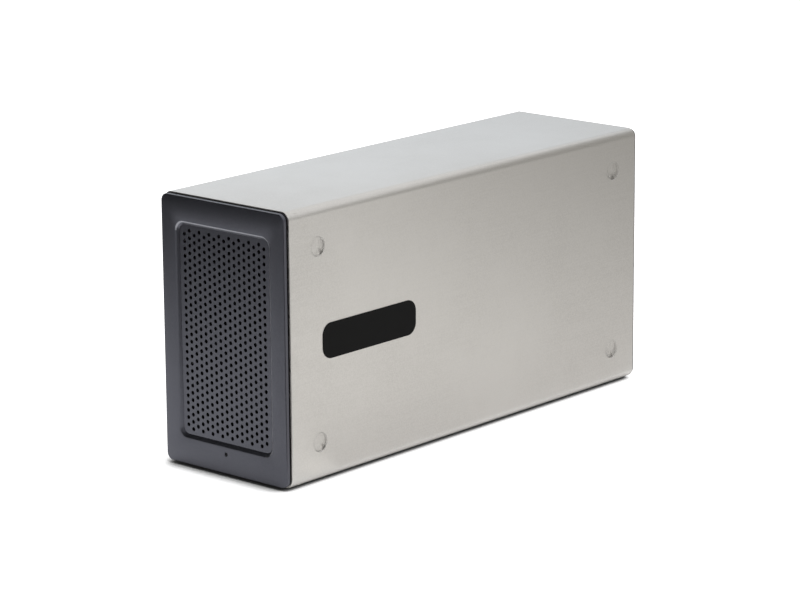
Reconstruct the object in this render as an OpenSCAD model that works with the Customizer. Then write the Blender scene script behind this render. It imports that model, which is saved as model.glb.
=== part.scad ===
// Expansion chassis for two full height cards: a metal sleeve with a perforated front, and a tray
// that slides out of its back with the fans, the main board, the card slots and the rear panel.
// X is the width, the perforated front faces -Y, the cards go in from the back of the tray, +Z is up.

/* [Sleeve] */
// Outside width of the sleeve
sleeve_w = 83.3; // [82:0.1:90]
// Outside height of the sleeve
sleeve_h = 137; // [136:0.5:145]
// Depth from the face of the bezel to the face of the rear panel
case_l = 274.8; // [265:0.2:310]
// Thickness of the sleeve's sheet
sheet_t = 1.2; // [1:0.1:1.4]
// Outside radius of the sleeve's four long bends
corner_r = 4.5; // [4:0.5:6]
// Bevel on the sleeve's cut front and rear edges
edge_bevel = 0.4; // [0.2:0.1:0.6]

/* [Pads] */
// Diameter of a stick-on pad
pad_d = 10; // [8:0.5:12]
// Thickness of a stick-on pad
pad_t = 1; // [0.8:0.1:2]
// Distance from the face of the bezel to the front pads
pad_front = 22.7; // [20:0.1:30]
// Distance from the rear panel to the rear pads
pad_rear = 20.8; // [15:0.1:30]
// Distance from the sleeve's top and bottom to the side pads
pad_high = 19.7; // [15:0.1:30]

/* [Front bezel] */
// Thickness of the bezel plate
bezel_t = 2; // [2:0.1:2.6]
// How far the bezel stays inside the sleeve's outline
bezel_inset = 0.7; // [0.4:0.1:1]
// Width of the dark joint between the bezel and the sleeve
bezel_gap = 1; // [0.6:0.1:1.5]
// Radius of the bezel's front edge
bezel_edge = 0.6; // [0.3:0.1:0.8]
// Distance from the sleeve's side to the recess in the bezel
recess_side = 10.75; // [10:0.05:14]
// Distance from the sleeve's top to the recess
recess_top = 13.8; // [12:0.1:18]
// Distance from the sleeve's bottom to the recess
recess_bottom = 15; // [14.8:0.1:20]
// Depth of the recess
recess_depth = 1.4; // [1:0.1:1.5]
// How far the walls of the recess lean in
recess_slope = 1; // [0.7:0.1:1.5]
// Width of the bright rim round the recess
recess_rim = 0.35; // [0.2:0.05:0.5]
// Corner radius of the recess
recess_r = 4.5; // [3:0.5:6]
// Height of the status light above the sleeve's bottom
light_rise = 10.5; // [10:0.1:11.5]
// Diameter of the status light's rod
light_d = 1.6; // [1.2:0.1:2]

/* [Grille] */
// Thickness of the perforated sheet
grille_t = 1; // [0.8:0.1:1.2]
// Diameter of a hole in the perforated sheet
hole_d = 2; // [1.6:0.1:2.2]
// Distance between the holes of a column
hole_pitch = 3.72; // [3.5:0.01:5]
// Distance between two columns of holes
column_pitch = 3.33; // [3.2:0.01:4.5]

/* [Side badge] */
// Length of the badge
badge_l = 68.4; // [50:0.1:80]
// Height of the badge
badge_h = 17.9; // [12:0.1:25]
// Corner radius of the badge
badge_r = 6; // [3:0.5:8]
// Distance from the face of the bezel to the badge
badge_front = 25.8; // [22:0.1:60]

/* [Tray] */
// Gap between the tray and the sleeve
slide_gap = 0.3; // [0.2:0.05:0.4]
// Thickness of the tray's sheet
tray_t = 1.2; // [1:0.1:1.4]
// Height of the tray's side walls
tray_wall = 10; // [8:0.5:14]
// Thickness of the rear panel
panel_t = 1.2; // [1:0.1:1.5]

/* [Card slots] */
// Distance between the two cards
slot_pitch = 20.32; // [20.32:0.02:20.6]
// Gap between the tray's side wall and the bay of the card brackets
bay_gap = 0.3; // [0.2:0.05:0.6]
// Height of the bracket shelf above the board
shelf_rise = 114; // [113:0.1:114.5]
// Height of a slot cover
cover_h = 120.02; // [119.6:0.02:120.4]
// Width of a slot cover
cover_w = 18.42; // [18.2:0.02:18.6]
// Thickness of a slot cover
cover_t = 0.86; // [0.8:0.02:1]
// Depth of the bay that the card brackets sit in
bay_depth = 12; // [11.8:0.1:15]
// Length of a card connector
connector_l = 89; // [86:0.5:92]

/* [Main board] */
// Thickness of the board
board_t = 1.6; // [1.4:0.1:1.8]
// Height of the standoffs under the board
standoff_h = 6; // [5.5:0.1:6.2]

/* [Fans] */
// Side of a fan's square frame
fan_w = 60; // [59:0.5:61]
// Thickness of a fan
fan_t = 25; // [20:1:28]
// Distance between a fan's screws
fan_pitch = 50; // [49:0.5:50.5]
// Diameter of the fan's duct
duct_d = 57.2; // [56:0.1:57.6]
// Diameter of the impeller's hub
hub_d = 29; // [24:0.5:32]
// Number of blades
blade_count = 7; // [5:1:9]

/* [Thumbscrews] */
// Diameter of the knurled head
thumb_d = 9.6; // [8:0.1:9.8]
// Length of the knurled head
thumb_l = 6; // [5:0.1:8]
// Distance from the sleeve's side to a thumbscrew
thumb_side = 10.2; // [9.8:0.1:10.4]
// Diameter of the thread
thread_d = 3.5; // [3:0.1:3.5]
// Travel of a thumbscrew between fastened and loose
thumb_travel = 4.8; // [4:0.1:5]

/* [Hidden] */
$fn = 48;

// Overrun of every cut past the face that it opens
cut = 0.5;
// Gap between two pieces that are screwed or stuck together with play
play = 0.15;
// Gap between two pieces that pass or face each other
free_gap = 0.3;
// Radial clearance of a shaft in its bearing
run_gap = 0.05;
// Radial clearance of a screw in its hole
screw_gap = 0.25;

// Levels and planes of the case
front_y = -(case_l + thumb_l) / 2;
rear_y = front_y + case_l;
panel_y = rear_y - panel_t;
bezel_back = front_y + bezel_t;
sleeve_y = bezel_back + bezel_gap;
sleeve_l = panel_y - sleeve_y;
mid_z = pad_t + sleeve_h / 2;
in_w = sleeve_w - 2 * sheet_t;
in_h = sleeve_h - 2 * sheet_t;
in_r = corner_r - sheet_t;
floor_z = pad_t + sheet_t;
roof_z = floor_z + in_h;

// Bezel, grille and the frame behind them
bezel_w = sleeve_w - 2 * bezel_inset;
bezel_h = sleeve_h - 2 * bezel_inset;
bezel_r = corner_r - bezel_inset;
recess_w = sleeve_w - 2 * recess_side;
recess_h = sleeve_h - recess_top - recess_bottom;
recess_z = pad_t + recess_bottom + recess_h / 2;
grille_lap = 2;
grille_w = recess_w + 2 * grille_lap;
grille_h = recess_h + 2 * grille_lap;
grille_y = front_y + recess_depth;
grille_margin = 1.7;
columns = 2 * floor((recess_w - 2 * recess_slope - 2 * grille_margin - hole_d) / column_pitch / 2) + 1;
long_rows = floor((recess_h - 2 * recess_slope - 2 * grille_margin - hole_d) / hole_pitch) + 1;
frame_step = 0.9;
frame_depth = 5;
frame_wall = 2;
lug_t = 2;
ear_t = sheet_t;
ear_w = 9.4;
boss_d = 5.5;
ear_y = sleeve_y + frame_depth;
bezel_screw_d = 2.6;
bezel_screw_head_d = 5.2;
bezel_screw_head_t = 1.8;
bezel_screw_x = in_w / 2 - ear_w / 2 - play;
bezel_screw_z = in_h / 2 - ear_w / 2 - play;
light_z = pad_t + light_rise;
light_flange_d = 2 * light_d;
light_flange_t = 1.2;

// Badge on the side
badge_t = 0.3;
badge_bow = 0.8;

// Tray
tray_w = in_w - 2 * slide_gap;
tray_r = in_r - slide_gap;
tray_z = floor_z + slide_gap;
tray_top = tray_z + tray_t;
fan_bracket_y = ear_y + ear_t + bezel_screw_head_t + free_gap;
fan_bracket_t = 1.2;
fan_y = fan_bracket_y + fan_bracket_t;
tray_y = fan_y + free_gap;
lip_h = standoff_h - free_gap;

// Screws of the tray
screw_d = 2.9;
screw_head_d = 5.5;
screw_head_t = 2;
screw_l = 5;

// Board and card slots
board_z = tray_top + standoff_h;
board_top = board_z + board_t;
shelf_z = board_top + shelf_rise;
slot_count = 2;
fan_count = 2;
slot_y = panel_y - bay_depth;
bay_wall = 1;
cover_edge = 3.1;
cover_play = 0.5;
bay_x0 = -tray_w / 2 + tray_t + bay_gap + bay_wall;
slot_x = bay_x0 + cover_play + cover_w - cover_edge + slot_pitch * (slot_count - 1);
bay_x1 = slot_x + cover_edge + cover_play;
bay_z0 = tray_top;
bay_mid = (bay_x0 + bay_x1) / 2;
bay_w = bay_x1 - bay_x0;
cover_foot = shelf_z + cover_t - cover_h;
tongue_w = 10.2;
tongue_h = 5.5;
window_w = 14.4;
window_rise = 1.5;
window_drop = 9;
window_z0 = board_top + window_rise;
window_z1 = shelf_z - window_drop;
cover_tab = bay_depth - 2 * free_gap;
cover_screw_in = 5.8;
board_gap = 0.8;
board_side_gap = 1.5;
board_front_gap = 6;
connector_rear = 50;
board_y0 = fan_y + fan_t + board_front_gap;
board_y1 = slot_y - cover_t - board_gap;
board_y2 = panel_y - board_gap;
board_x0 = -tray_w / 2 + tray_t + board_side_gap;
board_x1 = -board_x0;
io_x0 = bay_x1 + bay_wall + board_gap;
io_w = board_x1 - io_x0;
lip_x0 = io_x0;
lip_x1 = tray_w / 2 - tray_r;
lip_screw_z = tray_top + lip_h / 2;
lip_screws = [lip_x0 + screw_head_d, lip_x1 - screw_head_d / 2];
guide_h = lip_h;
guide_y = slot_y - cover_t - free_gap - bay_wall;
crest_h = 4.6;
rivet_d = 2.4;
rivet_head_d = 4.4;
rivet_head_t = 0.9;
standoff_d = 5.5;
standoff_in = 1.2 * standoff_d;
board_hole_d = 3.4;
connector_y1 = slot_y - connector_rear;
connector_end = 2;
connector_w = 7.5;
connector_h = 11.25;
groove_w = 1.8;
groove_h = 8;
key_at = 11.65;
key_w = 1.9;
crest_z = shelf_z + crest_h / 2;
crest_rivets = [bay_mid + rivet_head_d, bay_x1 - rivet_head_d];

// Latch at the front end of a connector, on a pivot between two ears
latch_w = 4.2;
latch_l = 4;
latch_h = 14;
latch_nose = 2.8;
latch_hook_t = 2.5;
latch_tip_t = 1.6;
latch_pivot_d = 2;
latch_rise = 4;
latch_pivot_z = board_top + latch_rise;
latch_ear = 1.5;
latch_ear_h = 7;
latch_gap = 0.15;
latch_y = connector_y1 - connector_l - latch_l / 2 - connector_end / 2;

// Loose parts of the board
heatsink_base = 2.5;
controller_l = 32;
controller_h = 10.5;
heatsink_gap = 16;
heatsink_rear = 30;
heatsink_in = 3;
heatsink_w = io_w - 2.5 * heatsink_in;
controller_y = slot_y - heatsink_rear - controller_l;
bridge_l = 26;
bridge_h = 9;
bridge_y = controller_y - bridge_l - heatsink_gap;
heatsink_x = io_x0 + heatsink_in;
fin_count = 9;
fin_t = 1;
chip_w = 7;
chip_t = 1.2;
coil_w = 7;
coil_h = 4;
coil_gap = 0.6;
coil_count = floor(io_w / (coil_w + coil_gap));
coil_x = board_x1 - coil_count * (coil_w + coil_gap);
coil_y = slot_y - heatsink_rear + heatsink_in;
cap_d = 6.3;
cap_h = 7.7;
cap_gap = 1.2;
cap_count = floor((io_w - cap_d / 2) / (cap_d + cap_gap));
cap_x = io_x0 + cap_d;
cap_y = slot_y - cap_d;
chip_rows = 2;
chip_row_gap = 21;
chip_front = 16;
header_w = 10;
header_l = 5.8;
header_h = 7;
header_wall = 0.8;
header_floor = 1.5;
header_pitch = header_w + header_wall;
header_gap = 1;
header_x = board_x1 - standoff_in - screw_head_d / 2 - header_gap - fan_count * header_pitch;
header_in = 3;
header_y = board_y0 + header_in;

// Fan cables: a round bundle from each fan, over one bend and down into a plug
cable_d = 2.4;
cable_bend = 6;
cable_y = header_y + header_l / 2;
plug_w = header_w - 2 * header_wall - free_gap;
plug_l = header_l - 2 * header_wall - free_gap;
plug_rise = 2;
plug_h = header_h + plug_rise;

// Small upright board in front of the fan bracket that carries the status light
light_board_w = 12;
light_board_h = 8;
light_board_t = 1;
light_board_y = fan_bracket_y - light_board_t;
emitter_w = 1.6;
emitter_t = 0.8;

// Rear openings
port_w = 8.94;
port_h = 3.26;
port_wall = 0.35;
port_l = 9;
port_z = board_top + port_h / 2;
port_in = 0.4;
port_r = 0.47 * port_h;
port_shell_back = 2;
port_tongue_t = 0.7;
port_gap = 0.35;
jack_side = 4.8;
jack_x = board_x1 - jack_side;
jack_w = 9;
port_shares = [0.27, 0.74];
port_places = [for (k = port_shares) io_x0 + k * (jack_x - jack_w / 2 - io_x0)];
jack_h = 11;
jack_l = 14;
jack_nose_d = 8.4;
jack_bore_d = 6.2;
jack_step = 1;
jack_pin_d = 2.5;
jack_rise = 6.5;
jack_z = board_top + jack_rise;
vent_d = 3.2;
vent_pitch = 5;
lock_w = 7;
lock_h = 3;

// Fans
fan_r = fan_w / 2;
fan_rise = 3.4;
fan_z0 = tray_top + fan_rise;
flange_t = 3.6;
tip_gap = 0.7;
tip_r = duct_d / 2 - tip_gap;
hub_r = hub_d / 2;
shaft_d = 3;
strut_w = 3;
strut_t = 2.4;
base_t = 3;
hub_gap = 0.8;
fan_nose = 1.5;
blade_t = 1.1;
blade_r = 16;
blade_chord = 19;
blade_pitch = 48;
fan_hole_d = 4.3;
cup_wall = 1.4;
root_share = 0.8;

// Thumbscrews
thumb_drop = 1.1;
thumb_run = 1.2;
thumb_x = sleeve_w / 2 - thumb_side;
thumb_z = roof_z - thumb_d / 2 - thumb_drop;
lug_w = 7.6;
lug_wall = 1.4;
lug_z0 = thumb_z - thread_d / 2 - lug_wall;
lug_y = panel_y - thumb_travel - thumb_run - lug_t;
ring_wall = 1.1;
ring_d = thread_d + 2 * ring_wall;
ring_t = 0.6;
ring_y = lug_y + lug_t + free_gap;
tip_l = thumb_travel - lug_t - free_gap;
slot_cut_w = 1.2;
knurls = 24;

silver = [0.78, 0.77, 0.75];
graphite = [0.24, 0.25, 0.28];
black = [0.07, 0.07, 0.08];
steel = [0.62, 0.63, 0.64];
board_green = [0.05, 0.16, 0.11];

function card_x(i) = slot_x - i * slot_pitch;
function fan_z(i) = fan_z0 + fan_r + i * fan_w;
function cable_x(i) = header_x + header_w / 2 + i * header_pitch;

// A plate that stands across the case, drawn in X and Z, from y to y + t
module across(y, t) {
    translate([0, y + t, 0])
        rotate([90, 0, 0])
            linear_extrude(t)
                children();
}

// A plate that stands along the case, drawn in Y and Z, from x to x + t
module along(x, t) {
    translate([x, 0, 0])
        rotate([90, 0, 90])
            linear_extrude(t)
                children();
}

module rounded(w, h, r) {
    square([w - 2 * r, h], center = true);
    square([w, h - 2 * r], center = true);
    for (sx = [-1, 1], sy = [-1, 1])
        translate([sx * (w / 2 - r), sy * (h / 2 - r)])
            circle(r);
}

// A box given by its low corner and its size
module block(x, y, z, w, l, h) {
    translate([x, y, z])
        cube([w, l, h]);
}

// A cylinder along Y, from y to y + l
module rod_y(x, y, z, d, l) {
    translate([x, y, z])
        rotate([-90, 0, 0])
            cylinder(d = d, h = l);
}

module rod_z(x, y, z, d, l) {
    translate([x, y, z])
        cylinder(d = d, h = l);
}

module rod_x(x, y, z, d, l) {
    translate([x, y, z])
        rotate([0, 90, 0])
            cylinder(d = d, h = l);
}

module sleeve_outline(inset, r) {
    translate([0, mid_z])
        rounded(sleeve_w - 2 * inset, sleeve_h - 2 * inset, r);
}

// Bevelled end of the sleeve, narrow at y0 and full at y1
module sleeve_end(y0, y1) {
    hull() {
        across(y0, cut / 10)
            sleeve_outline(edge_bevel, corner_r - edge_bevel);
        across(y1, cut / 10)
            sleeve_outline(0, corner_r);
    }
}

module bezel_screw_places() {
    for (sx = [-1, 1], sz = [-1, 1])
        translate([sx * bezel_screw_x, 0, mid_z + sz * bezel_screw_z])
            children();
}

module thumb_places() {
    for (sx = [-1, 1])
        translate([sx * thumb_x, 0, thumb_z])
            children();
}

// Sleeve with four ears at the front for the bezel's screws and two lugs at the back for the thumbscrews
module sleeve() {
    color(silver)
        difference() {
            union() {
                difference() {
                    union() {
                        across(sleeve_y + edge_bevel, sleeve_l - 2 * edge_bevel)
                            sleeve_outline(0, corner_r);
                        sleeve_end(sleeve_y, sleeve_y + edge_bevel);
                        sleeve_end(panel_y - cut / 10, panel_y - edge_bevel - cut / 10);
                    }
                    across(sleeve_y - cut, sleeve_l + 2 * cut)
                        sleeve_outline(sheet_t, in_r);
                }
                across(ear_y, ear_t)
                    intersection() {
                        sleeve_outline(sheet_t / 2, corner_r - sheet_t / 2);
                        for (sx = [-1, 1], sz = [-1, 1])
                            translate([sx * (in_w / 2 - ear_w / 2 + sheet_t / 4),
                                       mid_z + sz * (in_h / 2 - ear_w / 2 + sheet_t / 4)])
                                square(ear_w + sheet_t / 2, center = true);
                    }
                for (sx = [-1, 1])
                    block(sx * thumb_x - lug_w / 2, lug_y, lug_z0, lug_w, lug_t, roof_z - lug_z0 + sheet_t / 2);
            }
            bezel_screw_places()
                rod_y(0, ear_y - cut, 0, bezel_screw_d + 2 * screw_gap, ear_t + 2 * cut);
            thumb_places()
                rod_y(0, lug_y - cut, 0, thread_d + 2 * run_gap, lug_t + 2 * cut);
        }
}

// Solid between two outlines of the recess, the wide one ending at y0 + t and the narrow one starting at y1
module recess_cutter(y0, t, inset0, y1, inset1) {
    hull() {
        across(y0, t)
            translate([0, recess_z])
                rounded(recess_w - 2 * inset0, recess_h - 2 * inset0, recess_r - inset0);
        across(y1, cut / 10)
            translate([0, recess_z])
                rounded(recess_w - 2 * inset1, recess_h - 2 * inset1, recess_r - inset1);
    }
}

// Front plate with a rounded edge, a recess whose walls lean in, and four bosses at the back
module bezel() {
    color(graphite)
        difference() {
            union() {
                across(front_y + bezel_edge, bezel_t - bezel_edge)
                    translate([0, mid_z])
                        rounded(bezel_w, bezel_h, bezel_r);
                hull() {
                    across(front_y + bezel_edge, bezel_edge)
                        translate([0, mid_z])
                            rounded(bezel_w, bezel_h, bezel_r);
                    across(front_y + bezel_edge * 0.3, bezel_edge)
                        translate([0, mid_z])
                            rounded(bezel_w - 0.6 * bezel_edge, bezel_h - 0.6 * bezel_edge,
                                    bezel_r - 0.3 * bezel_edge);
                    across(front_y, bezel_edge)
                        translate([0, mid_z])
                            rounded(bezel_w - 2 * bezel_edge, bezel_h - 2 * bezel_edge,
                                    bezel_r - bezel_edge);
                }
                bezel_screw_places()
                    rod_y(0, bezel_back - bezel_edge, 0, boss_d, ear_y - lug_t - bezel_back + bezel_edge);
            }
            recess_cutter(front_y - cut, cut, 0, front_y + recess_rim, recess_rim);
            recess_cutter(front_y + recess_rim - cut, cut, recess_rim, grille_y, recess_slope);
            across(grille_y, bezel_t)
                translate([0, recess_z])
                    rounded(grille_w + 2 * play, grille_h + 2 * play, recess_r);
            bezel_screw_places()
                rod_y(0, bezel_back, 0, bezel_screw_d, frame_depth);
            rod_y(0, front_y - cut, light_z, light_d + 2 * play, bezel_t + 2 * cut);
            rod_y(0, bezel_back - light_flange_t / 2, light_z, light_flange_d + 2 * play, bezel_t);
        }
}

// Columns of holes, every second one longer and shifted by half a pitch
module grille_holes() {
    for (c = [0 : columns - 1]) {
        rows = long_rows - 1 + c % 2;
        for (i = [0 : rows - 1])
            translate([(c - (columns - 1) / 2) * column_pitch, (i - (rows - 1) / 2) * hole_pitch])
                circle(d = hole_d, $fn = 24);
    }
}

module grille() {
    color(graphite)
        across(grille_y, grille_t)
            translate([0, recess_z])
                difference() {
                    rounded(grille_w, grille_h, recess_r);
                    grille_holes();
                }
}

// Black plastic frame: its rim shows as the dark joint, and its collar sits in the mouth of the sleeve
module front_frame() {
    window_w = recess_w - 2 * recess_slope;
    window_h = recess_h - 2 * recess_slope;
    color(black)
        difference() {
            union() {
                across(bezel_back, bezel_gap)
                    sleeve_outline(bezel_inset + frame_step, bezel_r - frame_step);
                across(sleeve_y, frame_depth)
                    sleeve_outline(sheet_t + play, in_r - play);
            }
            across(bezel_back - cut, bezel_gap + frame_depth + 2 * cut)
                translate([0, recess_z])
                    rounded(window_w, window_h, recess_r - recess_slope);
            across(bezel_back - cut, grille_y + grille_t - bezel_back + cut)
                translate([0, recess_z])
                    rounded(grille_w + 2 * play, grille_h + 2 * play, recess_r);
            across(sleeve_y + lug_t / 2, frame_depth)
                difference() {
                    sleeve_outline(sheet_t + play + frame_wall, in_r);
                    for (sx = [-1, 1], sz = [-1, 1])
                        translate([sx * (bezel_screw_x + boss_d), mid_z + sz * (bezel_screw_z + boss_d)])
                            square(4 * boss_d, center = true);
                    translate([0, light_z])
                        square(3 * light_flange_d, center = true);
                }
            bezel_screw_places()
                rod_y(0, bezel_back - cut, 0, boss_d + 2 * play, ear_y - lug_t - bezel_back + cut);
            bezel_screw_places()
                rod_y(0, bezel_back, 0, bezel_screw_d + 2 * screw_gap, frame_depth * 2);
            rod_y(0, bezel_back - cut, light_z, light_flange_d + 2 * play, light_flange_t / 2 + cut);
            rod_y(0, bezel_back - cut, light_z, light_d + 2 * play, bezel_gap + frame_depth + 2 * cut);
        }
}

// A pan head screw along Y: its head starts at y and its shank runs the way that dir says
module pan_screw_y(x, y, z, d, head_d, head_t, l, dir) {
    translate([x, y, z])
        rotate([dir * 90, 0, 0])
            difference() {
                union() {
                    translate([0, 0, -head_t])
                        cylinder(d = head_d, h = head_t);
                    cylinder(d = d, h = l);
                }
                for (a = [0, 90])
                    rotate([0, 0, a])
                        translate([-head_d * 0.3, -head_d * 0.07, -head_t - cut])
                            cube([head_d * 0.6, head_d * 0.14, head_t * 0.5 + cut]);
            }
}

// The same screw along Z, with its head on top
module pan_screw_z(x, y, z, d, head_d, head_t, l) {
    translate([x, y, z])
        difference() {
            union() {
                cylinder(d = head_d, h = head_t);
                translate([0, 0, -l])
                    cylinder(d = d, h = l);
            }
            for (a = [0, 90])
                rotate([0, 0, a])
                    translate([-head_d * 0.3, -head_d * 0.07, head_t * 0.5])
                        cube([head_d * 0.6, head_d * 0.14, head_t]);
        }
}

module bezel_screws() {
    color(steel)
        bezel_screw_places()
            pan_screw_y(0, ear_y + ear_t, 0, bezel_screw_d, bezel_screw_head_d, bezel_screw_head_t,
                        frame_depth + ear_t - play, 1);
}

module light_pipe() {
    color([0.9, 0.95, 1, 0.6]) {
        rod_y(0, front_y + play, light_z, light_d, light_board_y - emitter_t - free_gap - front_y - play);
        rod_y(0, bezel_back - light_flange_t / 2, light_z, light_flange_d, light_flange_t);
    }
}

// Bare badge with slightly bowed ends
module side_badge() {
    color(black)
        along(sleeve_w / 2, badge_t)
            translate([front_y + badge_front + badge_l / 2, recess_z])
                intersection() {
                    rounded(badge_l, badge_h, badge_r);
                    for (s = [-1, 1])
                        translate([s * (badge_l - badge_h * badge_h / badge_bow / 4) / 2, 0])
                            circle(r = badge_h * badge_h / badge_bow / 8 + badge_l / 4, $fn = 96);
                }
}

module pad() {
    cylinder(d1 = pad_d, d2 = pad_d * 0.88, h = pad_t);
}

module base_pads() {
    pad_in = pad_high - pad_d / 2;
    color([0.9, 0.9, 0.9, 0.5])
        for (sx = [-1, 1], y = [front_y + pad_front, rear_y - pad_rear])
            translate([sx * (sleeve_w / 2 - pad_in), y, pad_t])
                mirror([0, 0, 1])
                    pad();
}

module side_pads() {
    color([0.9, 0.9, 0.9, 0.5])
        for (sx = [-1, 1], z = [pad_t + pad_high, pad_t + sleeve_h - pad_high],
             y = [front_y + pad_front, rear_y - pad_rear])
            translate([sx * sleeve_w / 2, y, z])
                rotate([0, sx * 90, 0])
                    pad();
}

module tray_section() {
    intersection() {
        difference() {
            translate([0, tray_z + in_h / 2])
                rounded(tray_w, in_h, tray_r);
            translate([0, tray_z + in_h / 2])
                rounded(tray_w - 2 * tray_t, in_h - 2 * tray_t, tray_r - tray_t);
        }
        translate([-tray_w, tray_z - cut])
            square([2 * tray_w, tray_wall + cut]);
    }
}

// Tray: a channel of sheet with a lip at the back that the rear panel is screwed to
module tray_floor() {
    color(steel)
        difference() {
            union() {
                across(tray_y, panel_y - tray_y)
                    tray_section();
                block(lip_x0, panel_y - tray_t, tray_top - tray_t / 2, lip_x1 - lip_x0, tray_t, lip_h + tray_t / 2);
            }
            for (x = lip_screws)
                rod_y(x, panel_y - tray_t - cut, lip_screw_z, screw_d, tray_t + 2 * cut);
            floor_rivet_places()
                rod_z(0, 0, tray_z - cut, rivet_d, tray_t + 2 * cut);
            standoff_places()
                rod_z(0, 0, tray_z - cut, screw_d, tray_t + 2 * cut);
            fan_foot_places()
                rod_z(0, 0, tray_z - cut, screw_d, tray_t + 2 * cut);
        }
}

module vent_holes() {
    vent_x0 = io_x0 + vent_d;
    vent_x1 = in_w / 2 - vent_d - tray_t;
    vent_z0 = board_top + jack_h + 3 * vent_d;
    vent_z1 = thumb_z - thumb_d;
    step = vent_pitch * sqrt(3) / 2;
    cols = floor((vent_x1 - vent_x0) / step);
    rows = floor((vent_z1 - vent_z0) / vent_pitch);
    for (c = [0 : cols], r = [0 : rows - c % 2])
        translate([(vent_x0 + vent_x1) / 2 + (c - cols / 2) * step,
                   (vent_z0 + vent_z1) / 2 + (r + (c % 2) / 2 - rows / 2) * vent_pitch])
            circle(d = vent_d, $fn = 24);
}

// Rear panel with the window of the card bay, the vent, the port holes and a lock slot
module rear_panel() {
    color(black)
        across(panel_y, panel_t)
            difference() {
                sleeve_outline(bezel_inset, bezel_r);
                translate([bay_mid, (bay_z0 + shelf_z - bay_wall) / 2])
                    square([bay_w, shelf_z - bay_wall - bay_z0], center = true);
                vent_holes();
                for (x = port_places)
                    translate([x, port_z])
                        rounded(port_w + 2 * port_gap, port_h + 2 * port_gap, port_h / 2);
                translate([jack_x, jack_z])
                    circle(d = jack_nose_d + 2 * port_gap);
                translate([(port_places[0] + port_places[1]) / 2, jack_z + jack_h / 2 + lock_h])
                    rounded(lock_w, lock_h, lock_h / 4);
                for (sx = [-1, 1])
                    translate([sx * thumb_x, thumb_z])
                        circle(d = thread_d + 2 * screw_gap);
                for (x = lip_screws)
                    translate([x, lip_screw_z])
                        circle(d = screw_d + 2 * screw_gap);
                for (x = crest_rivets)
                    translate([x, crest_z])
                        circle(d = rivet_d);
            }
}

module panel_screws() {
    color(black)
        for (x = lip_screws)
            pan_screw_y(x, rear_y, lip_screw_z, screw_d, screw_head_d, screw_head_t, screw_l, 1);
}

module floor_rivet_places() {
    for (x = [bay_x0 + rivet_head_d, bay_x1 - rivet_head_d])
        translate([x, slot_y + bay_depth / 2, 0])
            children();
}

// Folded frame of the card bay: a slotted plate, a shelf for the brackets, returns to the rear panel,
// and a guide that traps the tongues of the covers
module slot_frame() {
    full_w = bay_w + 2 * bay_wall;
    full_z0 = bay_z0 + tray_r;
    foot_x0 = -tray_w / 2 + tray_r;
    foot_w = bay_x1 + bay_wall - foot_x0;
    color(steel)
        difference() {
            union() {
                block(bay_x0 - bay_wall, slot_y, full_z0, full_w, bay_wall, shelf_z - full_z0);
                for (x = [bay_x0 - bay_wall, bay_x1])
                    block(x, slot_y, full_z0, bay_wall, bay_depth, shelf_z - full_z0);
                block(bay_x0 - bay_wall, slot_y, shelf_z - bay_wall, full_w, bay_depth, bay_wall);
                block(foot_x0, slot_y, bay_z0, foot_w, bay_wall, tray_r + bay_wall);
                block(foot_x0, guide_y, bay_z0, foot_w, panel_y - guide_y, bay_wall);
                block(foot_x0, guide_y, bay_z0, foot_w, bay_wall, guide_h);
                block(bay_mid, panel_y - bay_wall, shelf_z - bay_wall, bay_x1 - bay_mid, bay_wall, crest_h + bay_wall);
            }
            for (i = [0 : slot_count - 1]) {
                mid = card_x(i) + cover_edge - cover_w / 2;
                block(mid - window_w / 2, slot_y - cut, window_z0, window_w, bay_wall + 2 * cut, window_z1 - window_z0);
                rod_z(mid + cover_w / 2 - cover_screw_in, slot_y + bay_depth / 2, shelf_z - bay_wall - cut,
                      screw_d, bay_wall + 2 * cut);
            }
            floor_rivet_places()
                rod_z(0, 0, bay_z0 - cut, rivet_d, bay_wall + 2 * cut);
            for (x = crest_rivets)
                rod_y(x, panel_y - bay_wall - cut, crest_z, rivet_d, bay_wall + 2 * cut);
        }
}

// Rivets: two through the floor of the bay and the tray, two through the rear panel and the frame's crest
module frame_rivets() {
    color(steel) {
        floor_rivet_places() {
            rod_z(0, 0, tray_z, rivet_d, tray_t + bay_wall + play);
            translate([0, 0, bay_z0 + bay_wall])
                cylinder(d1 = rivet_head_d, d2 = rivet_head_d * 0.6, h = rivet_head_t);
        }
        for (x = crest_rivets)
            translate([x, 0, crest_z]) {
                rod_y(0, panel_y - bay_wall, 0, rivet_d, panel_t + bay_wall + play);
                translate([0, rear_y, 0])
                    rotate([-90, 0, 0])
                        cylinder(d1 = rivet_head_d, d2 = rivet_head_d * 0.6, h = rivet_head_t);
            }
    }
}

// Slot cover: a strip with a folded tab on the shelf and a narrow tongue at its foot
module slot_cover(i) {
    mid = card_x(i) + cover_edge - cover_w / 2;
    color(steel)
        difference() {
            union() {
                block(mid - cover_w / 2, slot_y - cover_t, cover_foot + tongue_h, cover_w, cover_t,
                      cover_h - tongue_h);
                block(mid - tongue_w / 2, slot_y - cover_t, cover_foot, tongue_w, cover_t, tongue_h + cover_t);
                block(mid - cover_w / 2, slot_y - cover_t, shelf_z, cover_w, cover_tab, cover_t);
            }
            rod_z(mid + cover_w / 2 - cover_screw_in, slot_y + bay_depth / 2, shelf_z - cut,
                  screw_d + 2 * screw_gap, cover_t + 2 * cut);
        }
}

module slot_cover_1() {
    slot_cover(0);
}

module slot_cover_2() {
    slot_cover(1);
}

module cover_screws() {
    color(steel)
        for (i = [0 : slot_count - 1])
            pan_screw_z(card_x(i) + cover_edge - cover_screw_in, slot_y + bay_depth / 2, shelf_z + cover_t,
                        screw_d, screw_head_d, screw_head_t, screw_l);
}

module fan_foot_places() {
    for (sx = [-1, 1])
        translate([sx * fan_w * 0.42, fan_bracket_y + fan_t * 0.5, 0])
            children();
}

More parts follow.
